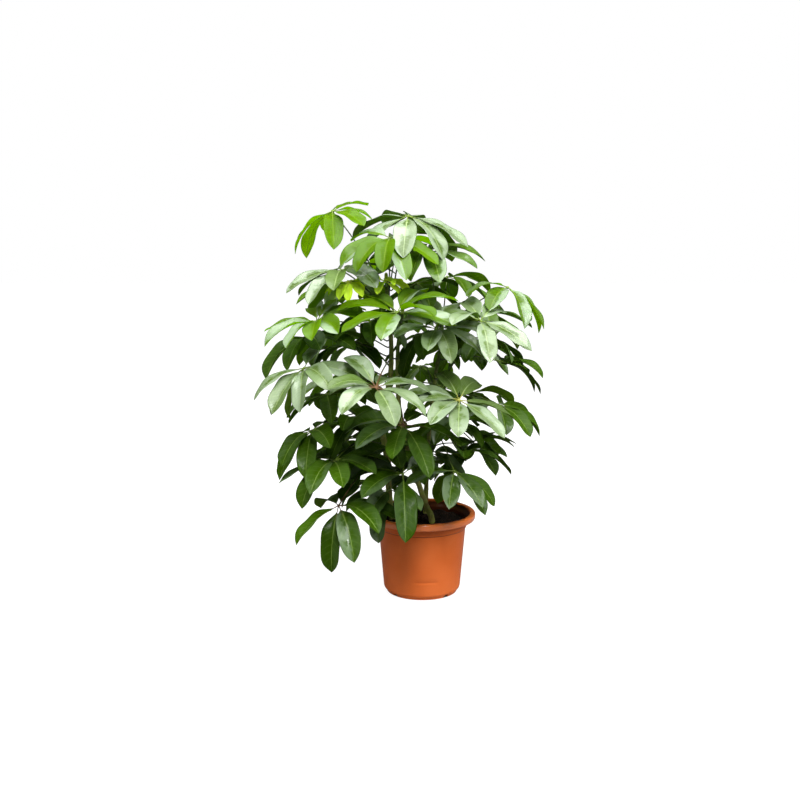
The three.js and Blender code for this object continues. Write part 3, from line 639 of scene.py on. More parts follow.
def leaf_lines(node, draw):
    """The lines that a leaf grows on: for each leaflet a blade line and a rib line, and the stalk's line"""
    hub, blades, stalk = read_leaf(node)
    lines = Lines()
    for blade in blades:
        line = blade["line"]
        run = np.gradient(line, axis=0)
        sides = [unit(np.cross(ahead, up)) for ahead, up in zip(run, blade["ups"])]
        ups = [unit(np.cross(side, ahead)) for side, ahead in zip(sides, run)]
        chance = draw.random()
        lines.add(line, up=ups, side=sides, half=blade["half"] * LEAF_GROW, draw=chance, kind=BLADE)
        rib_line = np.vstack([hub, line])
        lines.add(rib_line, up=[ups[0], *ups], side=[sides[0], *sides], half=0, draw=chance, kind=RIB)
    level = np.tile(UP, (len(stalk), 1))
    lines.add(stalk, up=level, side=level, half=0, draw=draw.random(), kind=STALK)
    return lines


# Leaves

def smooth_curves(nodes, lines, rows):
    """Lines of edges as smooth curves of so many rows"""
    curve = nodes.out("GeometryNodeMeshToCurve", {"Mesh": lines})
    curve = nodes.out("GeometryNodeCurveSplineType", {"Curve": curve}, spline_type="CATMULL_ROM")
    return nodes.out("GeometryNodeResampleCurve", {"Curve": curve, "Count": rows}, mode="COUNT")


def picked_curves(nodes, geometry, kind, rows):
    """The leaf's lines of one kind as smooth curves"""
    chosen = nodes.math("COMPARE", nodes.attribute("kind"), kind, 0.5)
    inputs = {"Geometry": geometry, "Selection": chosen}
    return smooth_curves(nodes, nodes.out("GeometryNodeSeparateGeometry", inputs, domain="POINT"), rows)


def ring_curve(nodes, corners):
    inputs = {"Resolution": corners, "Radius": 1.0}
    return nodes.out("GeometryNodeCurvePrimitiveCircle", inputs, mode="RADIUS")


def swept(nodes, curve, profile, radius):
    """A closed surface of the profile along a curve, its radius a value of the curve"""
    inputs = {"Curve": curve, "Profile Curve": profile, "Scale": radius, "Fill Caps": True}
    return nodes.out("GeometryNodeCurveToMesh", inputs)


def tube(nodes, curve, radius, corners):
    return swept(nodes, curve, ring_curve(nodes, corners), radius)


def smooth_shaded(nodes, mesh):
    return nodes.out("GeometryNodeSetShadeSmooth", {"Geometry": mesh, "Shade Smooth": True})


def painted(nodes, geometry, finish):
    """The geometry with its instances made real and its finish on every face"""
    real = nodes.out("GeometryNodeRealizeInstances", {"Geometry": geometry})
    return nodes.out("GeometryNodeSetMaterial", {"Geometry": real, "Material": finish})


def blade_rise(nodes, given, draw, share, across, width):
    """How high the blade stands over its middle line: its fold, its crown and its wavy margin"""
    away = abs(across)
    fold = nodes.spread(nodes.own_draw(draw, FOLD_DRAW), *FOLD_RANGE) * given["Fold"]
    crown = nodes.curve(away, BLADE_CROWN) * given["Crown"]
    turns = share * given["Waves"] + draw
    turns = nodes.math("SIGN", across) * WAVE_STAGGER + turns
    wave = nodes.math("SINE", turns * math.tau) * nodes.math("POWER", away, 2.0)
    rise = (wave * given["Wave height"] + (away * fold + crown)) * width
    return nodes.attribute("top") * given["Thickness"] + rise


def twisted(nodes, given, draw, share, out, rise):
    """The way sideways and the way up, turned about the middle line further and further along the leaflet"""
    twist = nodes.spread(nodes.own_draw(draw, TWIST_DRAW), *TWIST_RANGE) * given["Twist"]
    twist = twist * nodes.spread(share, TWIST_AT_FOOT, 1.0)
    sine = nodes.math("SINE", twist)
    cosine = nodes.math("COSINE", twist)
    return out * cosine - rise * sine, out * sine + rise * cosine


def blade_surface(nodes, given):
    """Blades pointed at both ends, creased along the rib, crowned on either side and wavy at the margin"""
    curve = picked_curves(nodes, given["Geometry"], BLADE, given["Blade rows"])
    place = nodes.out("GeometryNodeInputPosition")
    curve = nodes.store(curve, "middle", place, "FLOAT_VECTOR")
    ring_x, ring_y, _ = nodes.parts(place)
    profile = nodes.store(ring_curve(nodes, BLADE_CORNERS), "across", ring_x)
    profile = nodes.store(profile, "top", ring_y)
    mesh = swept(nodes, curve, profile, given["Thickness"])

    share = nodes.attribute("share")
    across = nodes.attribute("across")
    draw = nodes.attribute("draw")
    width = nodes.attribute("half") * nodes.curve(share, BLADE_OUTLINE)
    rise = blade_rise(nodes, given, draw, share, across, width)
    aside, above = twisted(nodes, given, draw, share, across * width, rise)
    sideways = nodes.scaled(nodes.vector_attribute("side"), aside)
    upward = nodes.scaled(nodes.vector_attribute("up"), above)
    shaped = nodes.vector("ADD", sideways, upward)
    shaped = nodes.vector("ADD", nodes.vector_attribute("middle"), shaped)
    mesh = nodes.out("GeometryNodeSetPosition", {"Geometry": mesh, "Position": shaped})
    pattern = nodes.out("ShaderNodeCombineXYZ", {"X": share, "Y": across, "Z": nodes.attribute("top")})
    mesh = nodes.store(mesh, "blade_place", pattern, "FLOAT_VECTOR")
    return nodes.store(mesh, "woody", 0.0)


def rib_surface(nodes, given):
    """The ribs under the blades, which run on as the stalklets to the hub"""
    curve = picked_curves(nodes, given["Geometry"], RIB, given["Rib rows"])
    share = nodes.attribute("share")
    drop = nodes.ramp(share, *RIB_SINKS) * given["Rib drop"]
    downward = nodes.scaled(nodes.vector_attribute("up"), drop * -1.0)
    curve = nodes.out("GeometryNodeSetPosition", {"Geometry": curve, "Offset": downward})
    radius = nodes.curve(share, RIB_TAPER) * given["Rib radius"]
    ribs = nodes.store(tube(nodes, curve, radius, RIB_CORNERS), "share", 1.0)
    return nodes.store(ribs, "woody", 1.0)


def stalk_surface(nodes, given):
    """The leaf's stalk with its swollen foot, and the knob where its leaflets meet"""
    curve = picked_curves(nodes, given["Geometry"], STALK, given["Stalk rows"])
    share = nodes.attribute("share")
    radius = nodes.curve(share, STALK_TAPER) * given["Stalk radius"]
    stalk = tube(nodes, curve, radius, STALK_CORNERS)
    knob = nodes.out("GeometryNodeMeshIcoSphere", {"Radius": given["Knob radius"], "Subdivisions": 3})
    at_end = nodes.math("GREATER_THAN", share, 0.999)
    points = {"Points": curve, "Selection": at_end, "Instance": knob}
    knobs = nodes.out("GeometryNodeInstanceOnPoints", points)
    knobs = nodes.out("GeometryNodeRealizeInstances", {"Geometry": knobs})
    knobs = nodes.store(knobs, "share", 1.0)
    return nodes.store(nodes.join([stalk, knobs]), "woody", 1.0)


def leaf_tree():
    """Grows a compound leaf on its lines"""
    tree, nodes, given, made = new_tree("compound leaf", "GeometryNodeTree", {
        "Geometry": "Geometry", "Blade rows": 27, "Rib rows": 18, "Stalk rows": 30,
        "Thickness": 0.00035, "Fold": 0.3, "Crown": 0.035, "Waves": 1.8, "Wave height": 0.09, "Twist": 0.4,
        "Rib radius": 0.0014, "Rib drop": 0.0004, "Stalk radius": 0.0018, "Knob radius": 0.0034,
        "Blade finish": "Material", "Stalk finish": "Material",
    }, {"Geometry": "Geometry"})
    surfaces = [surface(nodes, given) for surface in (blade_surface, rib_surface, stalk_surface)]
    leaf = painted(nodes, smooth_shaded(nodes, nodes.join(surfaces)), given["Blade finish"])
    woody = nodes.math("GREATER_THAN", nodes.attribute("woody"), 0.5)
    leaf = nodes.out("GeometryNodeSetMaterial", {
        "Geometry": leaf, "Selection": woody, "Material": given["Stalk finish"]})
    nodes.feed(made["Geometry"], leaf)
    return tree


def make_leaf(node, tree, draw, finish, stalk_finish):
    lines = leaf_lines(node, draw).object(node.replace("leaf_", "foliage_"))
    leaf = grown(lines, tree, {"Blade finish": finish, "Stalk finish": stalk_finish})
    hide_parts(node)
    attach(leaf, "root")


def tone_of(node, tones, usual):
    """The tone whose list has the leaf, or the usual one"""
    return next((tone for tone, leaves in tones.items() if node in leaves), usual)


def make_leaves():
    tree = leaf_tree()
    draw = np.random.default_rng(LEAF_SEED)
    finishes = {tone: leaf_finish(tone) for tone in LEAF_COLOURS}
    stalks = {tone: stalk_finish(tone) for tone in STALK_COLOURS}
    for node in sorted(name for name in NODES if name.startswith("leaf_")):
        # Each leaf gets a lit or shaded copy of the leaf colour: painted light and shade by its place in the
        # plant
        finish = finishes[tone_of(node, LEAF_LIGHTING_TONES, "dark")]
        make_leaf(node, tree, draw, finish, stalks[tone_of(node, STALK_TONES, "green")])


# Stems

def stem_lines(node):
    """The line up the middle of a packed stem, with its radius at each ring of corners"""
    places, _ = corners_of(node)
    lowest, highest = places[:, 2].min(), places[:, 2].max()
    rings = {}
    for place in places:
        rings.setdefault(round(place[2] / STEM_RING_STEP), []).append(place)
    rings = [np.array(ring) for _, ring in sorted(rings.items()) if len(ring) >= STEM_SIDES]
    middles = [ring.mean(axis=0) for ring in rings]
    radii = [np.linalg.norm(ring - middle, axis=1).mean() for ring, middle in zip(rings, middles)]
    middles[0][2] = lowest
    middles[-1][2] = highest
    lines = Lines()
    lines.add(middles, radius=radii)
    return lines


def stem_tree():
    """Grows the bark on a stem's line: knuckles where leaves stood, fine roughness and a rounded top"""
    tree, nodes, given, made = new_tree("woody stem", "GeometryNodeTree", {
        "Geometry": "Geometry", "Rows": 260, "Knuckle spacing": 0.021, "Knuckle rise": 0.09,
        "Sway scale": 23.0, "Grain scale": 190.0, "Roughness": 0.0007, "Bark finish": "Material",
    }, {"Geometry": "Geometry"})
    curve = smooth_curves(nodes, given["Geometry"], given["Rows"])
    along = nodes.attribute("share") * nodes.attribute("reach")
    curve = nodes.store(curve, "along", along)
    place = nodes.out("GeometryNodeInputPosition")
    curve = nodes.store(curve, "middle", place, "FLOAT_VECTOR")
    turn = nodes.attribute("along") / given["Knuckle spacing"]
    sway = nodes.noise(place, given["Sway scale"], detail=1.0)
    turn = nodes.math("FRACT", sway * KNUCKLE_SWAY + turn)
    curve = nodes.store(curve, "knuckle", nodes.curve(turn, KNUCKLE))
    swell = nodes.attribute("knuckle") * given["Knuckle rise"] + STEM_LEAST
    crown = nodes.curve(nodes.attribute("share"), STEM_CROWN)
    radius = nodes.attribute("radius") * (swell * crown)
    bark = tube(nodes, curve, radius, STEM_CORNERS)
    grain = nodes.noise(place, given["Grain scale"], detail=2.0)
    away = nodes.vector("SUBTRACT", place, nodes.vector_attribute("middle"))
    away = nodes.vector("NORMALIZE", away)
    push = nodes.scaled(away, (grain - 0.5) * given["Roughness"])
    bark = nodes.out("GeometryNodeSetPosition", {"Geometry": bark, "Offset": push})
    nodes.feed(made["Geometry"], painted(nodes, smooth_shaded(nodes, bark), given["Bark finish"]))
    return tree


def make_stems():
    tree = stem_tree()
    finish = bark_finish()
    for node in ("stem_left", "stem_front", "stem_right"):
        stem = grown(stem_lines(node).object(node.replace("stem_", "bark_")), tree, {"Bark finish": finish})
        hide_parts(node)
        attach(stem, "root")


# Soil

def soil_height(x, y):
    """The packed soil's own gentle lumps"""
    lumps = math.sin(110 * x + 1.3) * math.cos(130 * y - 0.4) + 0.6 * math.sin(230 * (x + y))
    return SOIL_TOP + SOIL_LUMP * lumps


def turned(profile, sides, height_at=None):
    """A closed turned body from the middle of its underside to the middle of its top, up its outside"""
    vertices, faces, rings = [], [], []
    for radius, height in profile:
        corners = sides if radius else 1
        rings.append([len(vertices) + k % corners for k in range(sides + 1)])
        for k in range(corners):
            x = radius * math.cos(math.tau * k / sides)
            y = radius * math.sin(math.tau * k / sides)
            vertices.append((x, y, height_at(x, y) if height is None else height))
    for lower, upper in zip(rings, rings[1:]):
        for k in range(sides):
            face = (lower[k], lower[k + 1], upper[k + 1], upper[k])
            faces.append(tuple(dict.fromkeys(face)))
    return vertices, faces


def soil_profile():
    """Radii and heights of the soil, which fills the pot from its floor; None is a height of its lumpy top"""
    inner = BODY_TOP_RADIUS - POT_WALL - SOIL_GAP
    side = [
        (FOOT_RADIUS - SOIL_GAP, POT_FLOOR_TOP + SOIL_GAP),
        (BODY_FOOT_RADIUS - POT_WALL - SOIL_GAP, POT_FLOOR_TOP + POT_FLOOR_ROUNDING),
        (inner, POT_HEIGHT - RIM_DEPTH - BAND_DEPTH),
        (inner + SOIL_SPREAD, SOIL_TOP - SOIL_SHOULDER),
    ]
    top = [(inner * ring / SOIL_RINGS, None) for ring in range(SOIL_RINGS, 0, -1)]
    return [(0, POT_FLOOR_TOP + SOIL_GAP), *side, (inner + SOIL_SPREAD, None), *top[1:], (0, None)]


def random_value(nodes, data_type, socket_type, low, high, seed):
    """A number or vector between two others, drawn by its seed"""
    node = nodes.add("FunctionNodeRandomValue", {"Seed": seed}, data_type=data_type)
    sockets = [socket for socket in node.inputs if socket.type == socket_type]
    nodes.feed(sockets[0], low)
    nodes.feed(sockets[1], high)
    return Value(nodes, next(socket for socket in node.outputs if socket.type == socket_type))


def soil_tree():
    """Roughens the soil's top and strews crumbs of peat, bark and grit over it"""
    tree, nodes, given, made = new_tree("potting soil", "GeometryNodeTree", {
        "Geometry": "Geometry", "Roughness scale": 130.0, "Crumbs per square metre": 42000.0,
        "Smallest crumb": 0.0008, "Largest crumb": 0.003, "Seed": 7, "Soil finish": "Material",
    }, {"Geometry": "Geometry"})
    _, _, upward = nodes.parts(nodes.out("GeometryNodeInputNormal"))
    top = nodes.math("GREATER_THAN", upward, 0.5)
    grain = nodes.noise(nodes.out("GeometryNodeInputPosition"), given["Roughness scale"], detail=3.0)
    lift = nodes.out("ShaderNodeCombineXYZ", {"Z": nodes.ramp(grain, *NOISE_SPAN, *SOIL_ROUGHENING)})
    mound = nodes.out("GeometryNodeSetPosition", {
        "Geometry": given["Geometry"], "Selection": top, "Offset": lift})
    points = nodes.out("GeometryNodeDistributePointsOnFaces", {
        "Mesh": mound, "Selection": top, "Density": given["Crumbs per square metre"], "Seed": given["Seed"],
    }, distribute_method="RANDOM")
    size = random_value(nodes, "FLOAT", "VALUE", given["Smallest crumb"], given["Largest crumb"], seed=3)
    turn = random_value(nodes, "FLOAT_VECTOR", "VECTOR", (0, 0, 0), [math.tau] * 3, seed=5)
    squash = nodes.out("ShaderNodeCombineXYZ", dict(zip("XYZ", CRUMB_SQUASH)))
    crumb = nodes.out("GeometryNodeMeshIcoSphere", {"Radius": 1.0, "Subdivisions": 1})
    crumbs = nodes.out("GeometryNodeInstanceOnPoints", {
        "Points": points, "Instance": crumb, "Rotation": turn, "Scale": nodes.scaled(squash, size)})
    nodes.feed(made["Geometry"], painted(nodes, nodes.join([mound, crumbs]), given["Soil finish"]))
    return tree


def make_soil():
    ground = mesh_object("potting_soil", *turned(soil_profile(), SOIL_SIDES, soil_height))
    shade_smooth(ground)
    soil = grown(ground, soil_tree(), {"Soil finish": soil_finish()})
    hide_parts("soil")
    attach(soil, "root")


# Pot

def rounded(corners):
    """A profile of corners, each but the first and last rounded off by a short arc of points"""
    smooth = [corners[0][:2]]
    for before, corner, after in zip(corners, corners[1:], corners[2:]):
        radius = corner[2]
        before, corner, after = Vector(before[:2]), Vector(corner[:2]), Vector(after[:2])
        radius = min(radius, 0.45 * (corner - before).length, 0.45 * (after - corner).length)
        start = corner + (before - corner).normalized() * radius
        end = corner + (after - corner).normalized() * radius
        for k in range(ARC_POINTS + 1):
            t = k / ARC_POINTS
            smooth.append(tuple((1 - t) ** 2 * start + 2 * t * (1 - t) * corner + t * t * end))
    return [*smooth, corners[-1][:2]]


def pot_profile():
    """The pot's wall from the middle of its underside, up its outside, over the rim and down to its floor.
    Each corner is a radius, a height and how far the corner is rounded."""
    rim_foot = POT_HEIGHT - RIM_DEPTH
    band_foot = rim_foot - BAND_DEPTH
    return rounded([
        (0, 0, 0), (PAD_RADIUS, 0, EDGE_ROUNDING), (PAD_RADIUS + 0.002, FOOT_HEIGHT, EDGE_ROUNDING),
        (FOOT_RADIUS - FOOT_RING_WIDTH - 0.002, FOOT_HEIGHT, EDGE_ROUNDING),
        (FOOT_RADIUS - FOOT_RING_WIDTH, 0, EDGE_ROUNDING), (FOOT_RADIUS - 0.001, 0, 0.0009),
        (FOOT_RADIUS, FOOT_HEIGHT, 0.002), (FOOT_RADIUS + 0.0045, FOOT_HEIGHT + 0.003, 0.002),
        (BODY_FOOT_RADIUS, FOOT_HEIGHT + HEEL_HEIGHT, 0.006), (BODY_TOP_RADIUS, band_foot - 0.001, 0.0012),
        (BAND_RADIUS - 0.0005, band_foot + 0.001, 0.0012), (BAND_RADIUS, rim_foot - 0.0005, 0.0014),
        (RIM_RADIUS - 0.0025, rim_foot, 0.0012), (RIM_RADIUS, rim_foot + 0.004, 0.003),
        (RIM_RADIUS, POT_HEIGHT, 0.0058), (LIP_RADIUS, POT_HEIGHT, 0.0042),
        (LIP_RADIUS - 0.0005, POT_HEIGHT - LIP_DEPTH, 0.003),
        (BAND_RADIUS - POT_WALL, rim_foot - 0.002, 0.004), (BODY_TOP_RADIUS - POT_WALL, band_foot, 0.001),
        (BODY_FOOT_RADIUS - POT_WALL, POT_FLOOR_TOP + POT_FLOOR_ROUNDING, 0.004),
        (FOOT_RADIUS, POT_FLOOR_TOP, 0.002), (0, POT_FLOOR_TOP, 0),
    ])


def with_wall_rows(profile):
    """The profile with more rows on the long outer wall, closer where the groove is"""
    rows = []
    for (radius, height), (next_radius, next_height) in zip(profile, profile[1:]):
        rows.append((radius, height))
        if next_height - height > LONG_WALL and next_radius > radius:
            wall = np.linspace(height, next_height, WALL_ROWS)[1:-1]
            groove = np.linspace(GROOVE_FOOT, GROOVE_TOP, GROOVE_ROWS)
            for h in sorted([*wall, *groove]):
                share = (h - height) / (next_height - height)
                rows.append((radius + share * (next_radius - radius), h))
    return [*rows, profile[-1]]


def press_groove(vertices):
    """The shallow moulded groove low on the wall, which fades at both ends"""
    pressed = []
    for x, y, z in vertices:
        radius = math.hypot(x, y)
        turn = math.remainder(math.atan2(y, x) - GROOVE_ANGLE, math.tau) / (0.5 * GROOVE_SPAN)
        share = (z - GROOVE_FOOT) / (GROOVE_TOP - GROOVE_FOOT)
        if radius > BODY_FOOT_RADIUS - 0.0005 and abs(turn) < 1 and 0 < share < 1:
            depth = GROOVE_DEPTH * math.sin(math.pi * share) * (1 - turn ** 4)
            x, y = x * (1 - depth / radius), y * (1 - depth / radius)
        pressed.append((x, y, z))
    return pressed


def cutter(kind, distance, size, turn):
    """A box or a round pin to cut from the pot, at a distance from its middle and turned round it"""
    shape = bmesh.new()
    if kind == "notch":
        bmesh.ops.create_cube(shape, size=1.0)
    else:
        bmesh.ops.create_cone(
            shape, cap_ends=True, segments=DRAIN_SIDES, radius1=0.5, radius2=0.5, depth=1.0)
    bmesh.ops.scale(shape, vec=size, verts=shape.verts)
    bmesh.ops.translate(shape, vec=(distance, 0, 0), verts=shape.verts)
    bmesh.ops.rotate(shape, matrix=Matrix.Rotation(turn, 3, "Z"), verts=shape.verts)
    mesh = bpy.data.meshes.new(kind)
    shape.to_mesh(mesh)
    shape.free()
    return link(bpy.data.objects.new(kind, mesh))


def pot_cutters():
    """The notches in the foot and the drain holes in the floor"""
    notch_size = (NOTCH_LENGTH, NOTCH_WIDTH, 2 * NOTCH_HEIGHT)
    drain_size = (2 * DRAIN_RADIUS, 2 * DRAIN_RADIUS, 4 * POT_FLOOR_TOP)
    notches = [
        cutter("notch", FOOT_RADIUS, notch_size, NOTCH_FIRST_ANGLE + math.tau * k / NOTCH_COUNT)
        for k in range(NOTCH_COUNT)
    ]
    drains = [
        cutter("drain", DRAIN_RING_RADIUS, drain_size, math.tau * (k + 0.5) / DRAIN_COUNT)
        for k in range(DRAIN_COUNT)
    ]
    return notches + drains


def mark_inside(pot, profile):
    """Marks the corners inside the pot, which come after the top of the rim"""
    top = max(range(len(profile)), key=lambda row: profile[row][1])
    inside = pot.data.attributes.new("inside", "FLOAT", "POINT")
    rows = [1 + (corner - 1) // POT_SIDES for corner in range(len(pot.data.vertices))]
    inside.data.foreach_set("value", [float(row > top) for row in rows])


def make_pot():
    profile = with_wall_rows(pot_profile())
    vertices, faces = turned(profile, POT_SIDES)
    pot = mesh_object("nursery_pot", press_groove(vertices), faces)
    mark_inside(pot, profile)
    cutters = pot_cutters()
    for tool in cutters:
        cut = pot.modifiers.new(tool.name, "BOOLEAN")
        cut.operation, cut.solver, cut.object = "DIFFERENCE", "EXACT", tool
    mesh = evaluated_mesh(pot)
    pot.modifiers.clear()
    pot.data = mesh
    for tool in cutters:
        bpy.data.objects.remove(tool)
    shade_smooth(pot)
    mesh.set_sharp_from_angle(angle=SHARP_ANGLE)
    mesh.materials.append(pot_finish())
    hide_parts("pot")
    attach(pot, "root")


# Finishes

def new_material(name, values):
    """A node material with its Principled shader, whose constant values are set on its own sockets"""
    material = bpy.data.materials.new(name)
    material.use_nodes = True
    material.node_tree.nodes.clear()
    nodes = Nodes(material.node_tree)
    shader = nodes.add("ShaderNodeBsdfPrincipled", values)
    output = nodes.add("ShaderNodeOutputMaterial", {"Surface": Value(nodes, shader.outputs[0])})
    return material, nodes, shader, output


def dress(nodes, shader, colour, roughness, height, relief, strength=1.0):
    """Gives the shader its colour, its roughness, and bumps of a height"""
    bump = nodes.out("ShaderNodeBump", {"Height": height, "Distance": relief, "Strength": strength})
    for name, value in {"Base Color": colour, "Roughness": roughness, "Normal": bump}.items():
        nodes.feed(shader.inputs[name], value)


def mottling_group():
    """Broad blotches and fine grain in the place of the object"""
    tree, nodes, given, made = new_tree("mottling", "ShaderNodeTree", {
        "Place": "Vector", "Blotch scale": 18.0, "Grain scale": 400.0,
    }, {"Blotch": "Float", "Grain": "Float"})
    blotch = nodes.noise(given["Place"], given["Blotch scale"], detail=4.0)
    nodes.feed(made["Blotch"], nodes.ramp(blotch, *NOISE_SPAN))
    nodes.feed(made["Grain"], nodes.noise(given["Place"], given["Grain scale"], detail=2.0))
    return tree


def mottling(nodes, blotch_scale, grain_scale):
    """The blotches and the grain of a material, from the group that all of them share"""
    inputs = {"Place": nodes.object_place(), "Blotch scale": blotch_scale, "Grain scale": grain_scale}
    outputs = nodes.outputs("ShaderNodeGroup", inputs, node_tree=MOTTLING)
    return outputs["Blotch"], outputs["Grain"]


def rib_mask(nodes, share, away):
    """The midrib, wide at the leaflet's foot and narrow at its tip"""
    foot = nodes.math("POWER", 1.0 - share, RIB_FOOT_FADE)
    nearness = foot * RIB_FOOT_WIDTH + RIB_HALF_WIDTH
    edge = [nearness * factor for factor in RIB_EDGE]
    return 1.0 - nodes.ramp(away, *edge)


def vein_line(nodes, given, share, across, away):
    """How far a point is from the next side vein, in shares of the way between two veins"""
    stagger = nodes.math("SIGN", across) * VEIN_STAGGER
    bend = nodes.math("POWER", away, VEIN_BEND) * VEIN_LEAN
    turn = (share - bend) * given["Veins"] + stagger + given["Draw"]
    return abs(nodes.math("FRACT", turn) - 0.5)


def wax_mask(nodes, given, top):
    """How waxy the leaflet is by its own draw, on its upper side only"""
    least = given["Waxy share"] - WAX_SPREAD
    most = given["Waxy share"] + WAX_SPREAD
    waxy = nodes.ramp(nodes.own_draw(given["Draw"], WAX_DRAW), least, most, 1.0, WAX_LEAST)
    return waxy * nodes.math("GREATER_THAN", top, 0.0)


def painted_sheen_mask(nodes, given, across, away, wax):
    """The painted sheen, a pale colour painted where gloss would reflect the light: patchy, mostly away from
    the rib, and stronger on one half of the leaflet
    """
    patchy = (given["Blotch"] - 0.5) * SHEEN_PATCHES + away
    patchy = nodes.ramp(patchy, *SHEEN_EDGE, SHEEN_LEAST, 1.0)
    side = across * nodes.math("SIGN", nodes.own_draw(given["Draw"], SHEEN_SIDE_DRAW) - 0.5)
    one_side = nodes.ramp(side, -SHEEN_HALF_EDGE, SHEEN_HALF_EDGE, given["Other side"], 1.0)
    return patchy * one_side * wax


def leaf_pattern_group():
    """Midrib, side veins, underside, wax and painted sheen of a leaflet, from its own shares of length and
    width
    """
    tree, nodes, given, made = new_tree("leaflet veins", "ShaderNodeTree", {
        "Blade place": "Vector", "Draw": 0.0, "Blotch": 0.5, "Waxy share": 0.5, "Other side": 0.4,
        "Veins": 9.0,
    }, dict.fromkeys(("Rib", "Veins", "Under", "Height", "Wax", "Bloom"), "Float"))
    share, across, top = nodes.parts(given["Blade place"])
    away = abs(across)
    rib = rib_mask(nodes, share, away)
    line = vein_line(nodes, given, share, across, away)
    fading = 1.0 - nodes.ramp(away, *VEIN_FADE)
    swell = nodes.math("SINE", line * math.tau) * fading
    wax = wax_mask(nodes, given, top)
    nodes.feed(made["Rib"], rib)
    nodes.feed(made["Veins"], (1.0 - nodes.ramp(line, *VEIN_LINE)) * fading)
    nodes.feed(made["Under"], nodes.math("LESS_THAN", top, 0.0))
    nodes.feed(made["Height"], swell * VEIN_SWELL - rib * RIB_GROOVE)
    nodes.feed(made["Wax"], wax)
    nodes.feed(made["Bloom"], painted_sheen_mask(nodes, given, across, away, wax))
    return tree


def leaf_finish(tone):
    """Waxy leaf tissue, light along the rib and veins, paler beneath, with light shining through; a painted
    sheen of whitish colour stands for glossy reflection, and each tone is a lit or shaded copy, painted light
    or shade
    """
    tissue, wax = LEAF_COLOURS[tone], LEAF_WAX[tone]
    material, nodes, shader, output = new_material(f"{tone} leaf", {
        "Coat Roughness": 0.17, "Specular IOR Level": wax.gloss})
    blotch, _ = mottling(nodes, blotch_scale=26.0, grain_scale=900.0)
    place = nodes.outputs("ShaderNodeAttribute", attribute_name="blade_place")["Vector"]
    draw = nodes.surface_value("draw")
    pattern = nodes.outputs("ShaderNodeGroup", {
        "Blade place": place, "Draw": draw, "Blotch": blotch, "Waxy share": wax.share,
        "Other side": wax.other_side,
    }, node_tree=LEAF_PATTERN)
    tint = draw * TINT_BY_DRAW + blotch * TINT_BY_BLOTCH
    colour = nodes.layers(
        tissue.deep,
        (tint, tissue.light),
        # Painted reflection: a whitish colour where gloss would reflect the light
        (pattern["Bloom"] * wax.bloom, LEAF_PAINTED_SHEEN),
        (pattern["Veins"] * VEIN_SHARE, tissue.rib),
        (pattern["Rib"] * RIB_SHARE, tissue.rib),
        (pattern["Under"] * UNDER_SHARE, tissue.under))
    coating = nodes.ramp(blotch, *LEAF_COAT_REACH, LEAF_COAT_LEAST * wax.coat, wax.coat)
    nodes.feed(shader.inputs["Coat Weight"], coating * pattern["Wax"])
    rough = pattern["Under"] * UNDER_ROUGHNESS + nodes.ramp(blotch, 0.0, 1.0, *LEAF_ROUGHNESS)
    quilt = nodes.noise(nodes.object_place(), scale=95.0, detail=1.5)
    height = (quilt * QUILT_HEIGHT + pattern["Height"] * VEIN_HEIGHT) * (1.0 - pattern["Under"])
    dress(nodes, shader, colour, rough, height, relief=0.0009, strength=0.6)
    glow = nodes.mixed(tint, [GLOW_LEAST * c for c in tissue.glow], tissue.glow)
    through = nodes.out("ShaderNodeBsdfTranslucent", {"Color": glow})
    tissue_shader = Value(nodes, shader.outputs[0])
    both = nodes.out("ShaderNodeMixShader", {"Fac": wax.through, 1: tissue_shader, 2: through})
    nodes.feed(output.inputs["Surface"], both)
    return material


def stalk_finish(tone):
    """Smooth green stalks, darker towards the foot and speckled"""
    foot, head = STALK_COLOURS[tone]
    material, nodes, shader, _ = new_material(f"{tone} stalk", {"Specular IOR Level": 0.3})
    blotch, grain = mottling(nodes, blotch_scale=60.0, grain_scale=1400.0)
    way = (blotch - 0.5) * STALK_SPECKLE + nodes.surface_value("share")
    colour = nodes.mixed(nodes.ramp(way, *STALK_HEAD_REACH), foot, head)
    dress(nodes, shader, colour, nodes.ramp(blotch, 0.0, 1.0, *STALK_ROUGHNESS), grain, relief=0.0003)
    return material


def bark_finish():
    """Brown-green bark with pale scars at the knuckles, greener towards the top"""
    material, nodes, shader, _ = new_material("green bark", {})
    blotch, grain = mottling(nodes, blotch_scale=55.0, grain_scale=420.0)
    share = nodes.surface_value("share")
    young = nodes.ramp(share, *BARK_YOUNG_REACH) * BARK_YOUNG_SHARE
    scar = nodes.ramp(nodes.surface_value("knuckle"), *BARK_SCAR_REACH) * BARK_SCAR_SHARE
    colour = nodes.layers(
        BARK_BROWN,
        (blotch, BARK_GREEN),
        (young, BARK_YOUNG),
        (scar, BARK_SCAR),
        (nodes.ramp(share, *BARK_BUD_REACH), BARK_BUD),
        (nodes.ramp(grain, *BARK_DARK_REACH, 0.0, BARK_DARK_SHARE), BARK_DARK))
    dress(nodes, shader, colour, nodes.ramp(grain, *NOISE_SPAN, *BARK_ROUGHNESS), grain, relief=0.0014)
    return material


